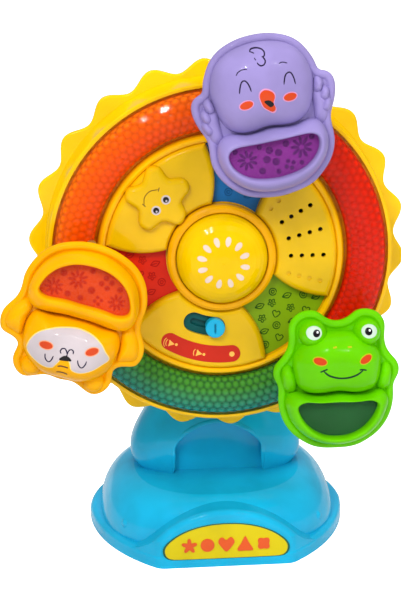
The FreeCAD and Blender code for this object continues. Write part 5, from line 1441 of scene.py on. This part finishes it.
@dataclass
class Panel:
    """The wheel's middle: the prints on the button, the star, the label and the films.

    It holds the switch's painted shade as well: the darker bar in the knob's groove and the dark
    strip behind the slot.
    """

    button_radius: float = 23.6
    button_edge: float = 23.0
    button_top: float = 34.0
    seeds: int = 12
    seed_ring: float = 11.2
    seed_turn: float = 2.4
    star_top: float = 25.8
    label_top: float = 22.25
    label_ring: float = 52.6
    off_ring: float = 52.3
    film_top: float = 16.8
    knob_ring: float = 37.2
    knob_angle: float = 278.8
    knob_groove: float = 24.9
    bar_half: float = 2.3
    shutter_top: float = 18.2
    shutter_half_angle: float = 21.5

    def button_ground(self, flat: np.ndarray) -> np.ndarray:
        """The button's dome, a quarter ellipse: edge + rise * sqrt(1 - s^2).

        Args:
            flat: (x, y) in the last axis.

        Returns:
            The height over each.
        """
        share = np.hypot(flat[..., 0], flat[..., 1]) / self.button_radius
        rise = self.button_top - self.button_edge
        return self.button_edge + rise * np.sqrt(np.clip(1 - share ** 2, 0, 1))

    def build_seeds(self) -> None:
        """A ring of cream seeds on the button, tails inwards."""
        skins = []
        for step in range(self.seeds):
            angle = 360.0 / self.seeds * step + self.seed_turn
            outline = seed(polar(self.seed_ring, angle), 5.0, 3.3, angle)
            skins.append(patch(outline, self.button_ground, 0.12))
        build("button_seeds", skins, WHEEL_SEAT, [Finish.SEED], "hub_button")

    def build_star_face(self) -> None:
        """Two round eyes and a thin smile on the star."""
        ground = level(self.star_top)
        skins = []
        for x, y in ((-35.8, 23.7), (-39.3, 17.2)):
            skins += [patch(ellipse((x, y), 2.4, 2.4), ground, 0.06, 0),
                      patch(ellipse((x, y), 1.55, 1.55), ground, 0.13, 1),
                      patch(ellipse((x + 0.35, y - 0.5), 0.5, 0.5, count=16), ground, 0.2, 0, 4)]
        smile = [[(-45.9, 18.3), (-46.6, 22.4), (-44.7, 26.0), (-40.8, 27.9)],
                 [(-47.0, 18.9), (-44.9, 17.8)], [(-40.6, 29.1), (-40.6, 26.9)]]
        skins += [stroke(line, 0.45, ground, finish=2) for line in smile]
        build("star_face_print", skins, WHEEL_SEAT, [Finish.MASK, Finish.INK, Finish.INK_BROWN],
              "wheel")

    def build_label_marks(self) -> None:
        """Two sound marks and a dot: loud, soft and off."""
        ground = level(self.label_top)
        skins = []
        for angle, size, waves in ((-120.9, 2.0, (2.9, 4.0)), (-103.9, 2.0, (2.9,))):
            x, y = polar(self.label_ring, angle - WHEEL_TURN)
            horn = ((0.85, 0.0), (0.15, -0.4), (-0.75, -0.95), (-0.6, 0.0), (-0.75, 0.95),
                    (0.15, 0.4))
            cone = Outline([(x + a * size, y + b * size) for a, b in horn])
            tip = ellipse((x + 1.35 * size, y), 0.75, 0.75, count=14)
            skins += [patch(cone.around((x, y), 32), ground, 0.1),
                      patch(tip, ground, 0.1, 0, 4)]
            for reach in waves:
                arc = [polar(reach, 180.0 + turn) for turn in (-40.0, -20.0, 0.0, 20.0, 40.0)]
                skins.append(stroke([(x + a, y + b) for a, b in arc], 0.42, ground))
        spot = polar(self.off_ring, -84.8 - WHEEL_TURN)
        skins.append(patch(ellipse(spot, 1.4, 1.4), ground, 0.1))
        build("label_marks", skins, WHEEL_SEAT, [Finish.LABEL_MARK], "wheel")

    def build_switch_shade_marks(self) -> None:
        """A darker bar in the knob's groove and a dark teal strip behind the slot that goes with
        the knob: painted shade on both.
        """
        x, y = polar(self.knob_ring, self.knob_angle)
        across, up = polar(1.0, 90.0 - WHEEL_TURN)
        ways = np.linspace(-self.bar_half, self.bar_half, 5)
        # the bar is painted shade in the knob's groove
        bar = [(x + way * across, y + way * up) for way in ways]
        turns = np.linspace(-self.shutter_half_angle, self.shutter_half_angle, 9)
        # the strip covers the slit in dark teal: painted shade on the shutter
        strip = [polar(self.knob_ring, self.knob_angle + turn) for turn in turns]
        skins = [stroke(bar, 1.0, level(self.knob_groove), 0.1, 0),
                 stroke(strip, 4.2, level(self.shutter_top), 0.08, 1, 40)]
        build("switch_shade_marks", skins, WHEEL_SEAT, [Finish.KNOB_GROOVE_SHADE, Finish.SLOT_SHADE], "switch")

    def build_film_prints(self) -> None:
        """Line drawings on the three films: leaves, hearts, rings and little flowers."""
        ground = level(self.film_top)
        leaf, heart, ring, flower = Motif.LEAF, Motif.HEART, Motif.RING, Motif.FLOWER
        spots = [(34.5, -9.5, leaf), (33.8, 8.0, ring), (37.4, 0.2, flower),
                 (40.8, -13.4, flower), (41.2, 11.6, leaf), (43.4, -3.6, heart),
                 (46.8, 6.2, flower), (47.6, -17.0, leaf), (48.4, -8.2, ring), (48.6, 17.6, ring),
                 (52.4, 0.6, leaf), (54.4, -20.0, ring), (54.8, -11.4, heart),
                 (54.2, 10.2, heart), (55.2, 19.4, leaf)]
        films = ((330.0, Finish.DOODLE_GREEN, "film_green"), (210.0, Finish.DOODLE_RED, "film_red"),
                 (90.0, Finish.DOODLE_BLUE, "film_blue"))
        for centre, finish, film in films:
            skins = []
            for radius, offset, motif in spots:
                x, y = polar(radius, centre + offset)
                for line in motif.strokes():
                    path = [(x + a, y + b) for a, b in line]
                    skins.append(stroke(path, 0.6, ground, 0.05, steps=40))
            build(film + "_print", skins, WHEEL_SEAT, [finish], "wheel")

    def build(self) -> None:
        """Everything printed on the panel."""
        self.build_seeds()
        self.build_star_face()
        self.build_label_marks()
        self.build_switch_shade_marks()
        self.build_film_prints()


# --- stand ------------------------------------------------------------------------------------
@dataclass
class Sign:
    """The sign's trim: a thin green edge and a row of plain shapes."""

    front: float = 72.7
    middle: Pair = (0.0, 13.0)
    edge_under: float = 0.3
    edge_proud: float = 0.12
    half: list[Pair] = field(default_factory=lambda: [
        (0.0, 25.0), (12.5, 23.9), (23.0, 20.6), (30.8, 15.6), (34.2, 10.4), (32.6, 6.0),
        (27.0, 4.7), (12.0, 4.6), (0.0, 4.6)])

    def build(self) -> None:
        """The edge line and the five shapes."""
        ground = level(self.front)
        edge = Outline(mirrored(self.half)).around(self.middle, 160)
        inner, outer = (grown(edge, self.middle, share) for share in (0.972, 1.004))
        low, high = self.front - self.edge_under, self.front + self.edge_proud
        tall = np.array([low, high, high, low])[:, None]
        skins = [Skin(raised(np.stack((outer, outer, inner, inner)), tall), ring=True)]
        turns = even_angles(60)
        star = 3.2 + 1.15 * np.cos(5 * (turns - QUARTER))
        square = 3.4 + 0.5 * np.cos(4 * (turns - 0.5 * QUARTER))
        shapes = [np.array((-20.0, 12.6)) + on_rays(star, turns),
                  ellipse((-10.2, 12.8), 3.7, 3.7, count=40),
                  Outline([(0.0, 15.4), (2.2, 17.0), (4.3, 14.9), (2.8, 11.6), (0.0, 8.8),
                           (-2.8, 11.6), (-4.3, 14.9), (-2.2, 17.0)]).around((0.0, 13.4), 60),
                  Outline([(10.2, 17.2), (12.4, 13.2), (14.4, 9.2), (10.2, 8.9), (6.0, 9.2),
                           (8.0, 13.2)]).around((10.2, 12.0), 60),
                  np.array((20.2, 12.6)) + on_rays(square, turns)]
        skins += [patch(shape, ground, 0.5, 1, 8) for shape in shapes]
        build("sign_trim", skins, STAND_SEAT, [Finish.SIGN_EDGE, Finish.SIGN_MARK], "stand")


@dataclass
class ArchBead:
    """A soft bead along the edge of the stem's arched recess."""

    half_width: float = 25.5
    foot: float = 34.6
    shoulder: float = 51.0
    top: float = 65.0
    width: float = 2.6
    proud: float = 0.7
    power: float = 2.6
    levels: tuple[tuple[float, float, float], ...] = (
        (30.0, 40.0, 24.0), (46.0, 49.0, 26.0), (60.0, 43.5, 25.0), (74.0, 35.5, 20.0))

    def stem_front(self, flat: np.ndarray) -> np.ndarray:
        """The stem's front, a superellipse: front * (1 - |x / wide|^p)^(1/p).

        Its half axes run straight between the levels, each a height, a width and a front.

        Args:
            flat: (x, height) in the last axis.

        Returns:
            How far the front stands ahead of the stand's middle.
        """
        heights, wides, fronts = np.array(self.levels).T
        wide = np.interp(flat[..., 1], heights, wides)
        front = np.interp(flat[..., 1], heights, fronts)
        share = np.clip(np.abs(flat[..., 0]) / wide, 0, 1) ** self.power
        return front * (1 - share) ** (1 / self.power)

    def build(self) -> None:
        """The bead, from the shelf over the arch and down again.

        The arch is the circle through both shoulders and the top.
        """
        squares = self.top ** 2 - self.shoulder ** 2 - self.half_width ** 2
        rise = squares / (2 * (self.top - self.shoulder))
        radius = self.top - rise
        spring = math.degrees(math.asin((self.shoulder - rise) / radius))
        arc = [polar(radius, angle) for angle in np.linspace(spring + 4, 176 - spring, 15)]
        side = [(self.half_width, tall) for tall in np.linspace(self.foot, self.shoulder - 1.5, 5)]
        path = side + [(x, y + rise) for x, y in arc] + [(-x, y) for x, y in side[::-1]]
        bead = stroke(path, self.width, self.stem_front, self.proud, steps=150)
        build("arch_bead", [bead], STAND_SEAT, [Finish.STAND], "stand")


NODE_FINISHES = {
    Finish.STAND: ("stand_front_shell", "stand_rear_shell", "stand_skirt"),
    Finish.FOOT: ("rubber_feet", "hub_button_pad"),
    Finish.STEEL: ("base_screws", "dome_screws", "stem_screws", "main_axle", "axle_washer",
                   "axle_screw", "battery_door_screw", "battery_contacts", "board_screws",
                   "wheel_screws", "pivot_pins", "pivot_washers", "pivot_screws",
                   "bird_screws", "cub_screws", "frog_screws"),
    Finish.BLACK: ("bottom_plate", "speaker"),
    Finish.SIGN: ("sign_plate",),
    Finish.WHITE: ("wheel_bush", "leds"),
    # the wheel's housings wear the ring tones, painted shade darker towards the axis
    Finish.WHEEL: ("wheel_front_housing", "wheel_rear_housing", "battery_door"),
    Finish.COVER_ORANGE: ("window_orange",),
    Finish.COVER_RED: ("window_red",),
    Finish.COVER_GREEN: ("window_green",),
    Finish.FILM_BLUE: ("film_blue",),
    Finish.FILM_RED: ("film_red",),
    Finish.FILM_GREEN: ("film_green",),
    Finish.COLLAR: ("hub_collar",),
    Finish.BUTTON: ("hub_button",),
    Finish.KNOB: ("switch_knob",),
    # the switch plate wears the slot's painted shade
    Finish.SLOT_SHADE: ("switch_plate",),
    Finish.LABEL: ("volume_label",),
    Finish.CELL: ("battery_cells",),
    Finish.BOARD: ("circuit_board",),
}


# --- studio -----------------------------------------------------------------------------------
@dataclass(frozen=True)
class Lamp:
    """A soft square lamp that looks at a point of the toy."""

    name: str
    place: tuple[float, float, float]
    size: float
    power: float
    aim: tuple[float, float, float] = (0.0, -0.04, 0.15)
    gloss: bool = False

    def build(self) -> None:
        """Sets up the lamp, facing its aim."""
        light = bpy.data.lights.new(self.name, "AREA")
        light.size = self.size
        light.energy = self.power
        lamp = bpy.data.objects.new(self.name, light)
        bpy.context.scene.collection.objects.link(lamp)
        away = np.array(self.aim) - np.array(self.place)
        turn = Vector(away.tolist()).to_track_quat("-Z", "Y")
        lamp.rotation_euler = turn.to_euler()
        lamp.location = self.place
        lamp.visible_glossy = self.gloss


@dataclass(frozen=True)
class Studio:
    """A white floor, soft lamps and the camera."""

    camera_place: tuple[float, float, float] = (-0.05913, -0.76639, 0.34609)
    camera_forward: tuple[float, float, float] = (0.06507, 0.96013, -0.27188)
    camera_roll: float = -0.816
    lens: float = 84.6
    clip: Pair = (0.05, 50.0)
    floor_size: float = 24.0
    floor_shade: float = 0.82
    world_level: float = 0.34
    lamps: tuple[Lamp, ...] = (
        Lamp("key_lamp", (-0.55, -0.9, 1.05), 0.5, 9.2),
        Lamp("fill_lamp", (0.9, -0.8, 0.7), 0.6, 3.8),
        Lamp("top_lamp", (0.1, 0.2, 1.3), 0.6, 4.4),
        Lamp("low_lamp", (0.0, -1.1, 0.14), 0.8, 1.3, aim=(0.0, -0.06, 0.1)),
        Lamp("back_lamp", (0.3, 1.3, 0.8), 1.0, 5.0, aim=(0.0, 0.0, 0.15)),
        Lamp("spark_lamp_1", (-0.30, -0.95, 0.98), 0.05, 1.6, gloss=True),
        Lamp("spark_lamp_2", (0.30, -0.95, 0.92), 0.04, 1.1, gloss=True),
        Lamp("spark_lamp_3", (0.42, -0.90, 0.84), 0.03, 0.7, gloss=True),
        Lamp("spark_lamp_4", (-0.42, -0.90, 0.86), 0.03, 0.6, gloss=True),
    )

    def build_camera(self) -> None:
        """A camera from its place, its forward line and its roll about that line."""
        forward = np.array(self.camera_forward) / np.linalg.norm(self.camera_forward)
        right = np.cross(forward, (0.0, 0.0, 1.0))
        right /= np.linalg.norm(right)
        up = np.cross(right, forward)
        roll = math.radians(self.camera_roll)
        right, up = (math.cos(roll) * right + math.sin(roll) * up,
                     math.cos(roll) * up - math.sin(roll) * right)
        data = bpy.data.cameras.new("camera")
        data.lens = self.lens
        data.clip_start, data.clip_end = self.clip
        camera = bpy.data.objects.new("camera", data)
        bpy.context.scene.collection.objects.link(camera)
        turn = np.eye(4)
        turn[:3, :3] = np.column_stack((right, up, -forward))
        turn[:3, 3] = self.camera_place
        camera.matrix_world = Matrix(turn.tolist())
        bpy.context.scene.camera = camera

    @staticmethod
    def seen_ray(tree: bpy.types.NodeTree) -> Socket:
        """Tells the rays that show a surface to the camera, straight or through glass.

        Args:
            tree: the material's or the world's nodes.

        Returns:
            1 for such a ray and 0 for the rest.
        """
        path = tree.nodes.new("ShaderNodeLightPath")
        either = tree.nodes.new("ShaderNodeMath")
        either.operation = "MAXIMUM"
        tree.links.new(path.outputs["Is Camera Ray"], either.inputs[0])
        tree.links.new(path.outputs["Is Transmission Ray"], either.inputs[1])
        return either.outputs[0]

    def floor_material(self) -> bpy.types.Material:
        """A pale matt floor that shows white.

        Returns:
            The material.
        """
        made = bpy.data.materials.new("floor_white")
        made.use_nodes = True
        tree = made.node_tree
        surface = tree.nodes["Principled BSDF"].inputs
        surface["Base Color"].default_value = (*(self.floor_shade,) * 3, 1.0)
        surface["Roughness"].default_value = 0.9
        surface["Emission Color"].default_value = paint(PURE_WHITE)
        tree.links.new(self.seen_ray(tree), surface["Emission Strength"])
        return made

    def build_floor(self) -> None:
        """A wide square floor under the toy."""
        half = 0.5 * self.floor_size
        corners = [(-half, -half, 0), (half, -half, 0), (half, half, 0), (-half, half, 0)]
        mesh = bpy.data.meshes.new("floor")
        mesh.from_pydata(corners, [], [(0, 1, 2, 3)])
        mesh.materials.append(self.floor_material())
        floor = bpy.data.objects.new("floor", mesh)
        bpy.context.scene.collection.objects.link(floor)

    def build_world(self) -> None:
        """A sky that shows white and lights the toy softly."""
        world = bpy.data.worlds.new("studio")
        world.use_nodes = True
        bpy.context.scene.world = world
        tree = world.node_tree
        mixer = tree.nodes.new("ShaderNodeMixShader")
        tree.links.new(self.seen_ray(tree), mixer.inputs[0])
        skies = ((tree.nodes["Background"], self.world_level),
                 (tree.nodes.new("ShaderNodeBackground"), 1.0))
        for place, (sky, strength) in enumerate(skies, start=1):
            sky.inputs["Color"].default_value = paint(PURE_WHITE)
            sky.inputs["Strength"].default_value = strength
            tree.links.new(sky.outputs[0], mixer.inputs[place])
        tree.links.new(mixer.outputs[0], tree.nodes["World Output"].inputs["Surface"])

    def build(self) -> None:
        """Camera, floor, sky and lamps."""
        self.build_camera()
        self.build_floor()
        self.build_world()
        for lamp in self.lamps:
            lamp.build()
        bpy.context.scene.view_settings.view_transform = "Standard"


def main() -> None:
    """Builds every piece in order."""
    logging.basicConfig(level=logging.INFO, format="%(message)s")
    Studio().build()
    for finish, nodes in NODE_FINISHES.items():
        dress(finish, *nodes)
    Sign().build()
    ArchBead().build()
    Lining("orange", 150.0, Finish.LINING_ORANGE).build()
    Lining("red", 30.0, Finish.LINING_RED).build()
    Lining("green", 270.0, Finish.LINING_GREEN).build()
    Panel().build()
    Bird().build()
    Cub().build()
    Frog().build()


if __name__ == "__main__":
    main()
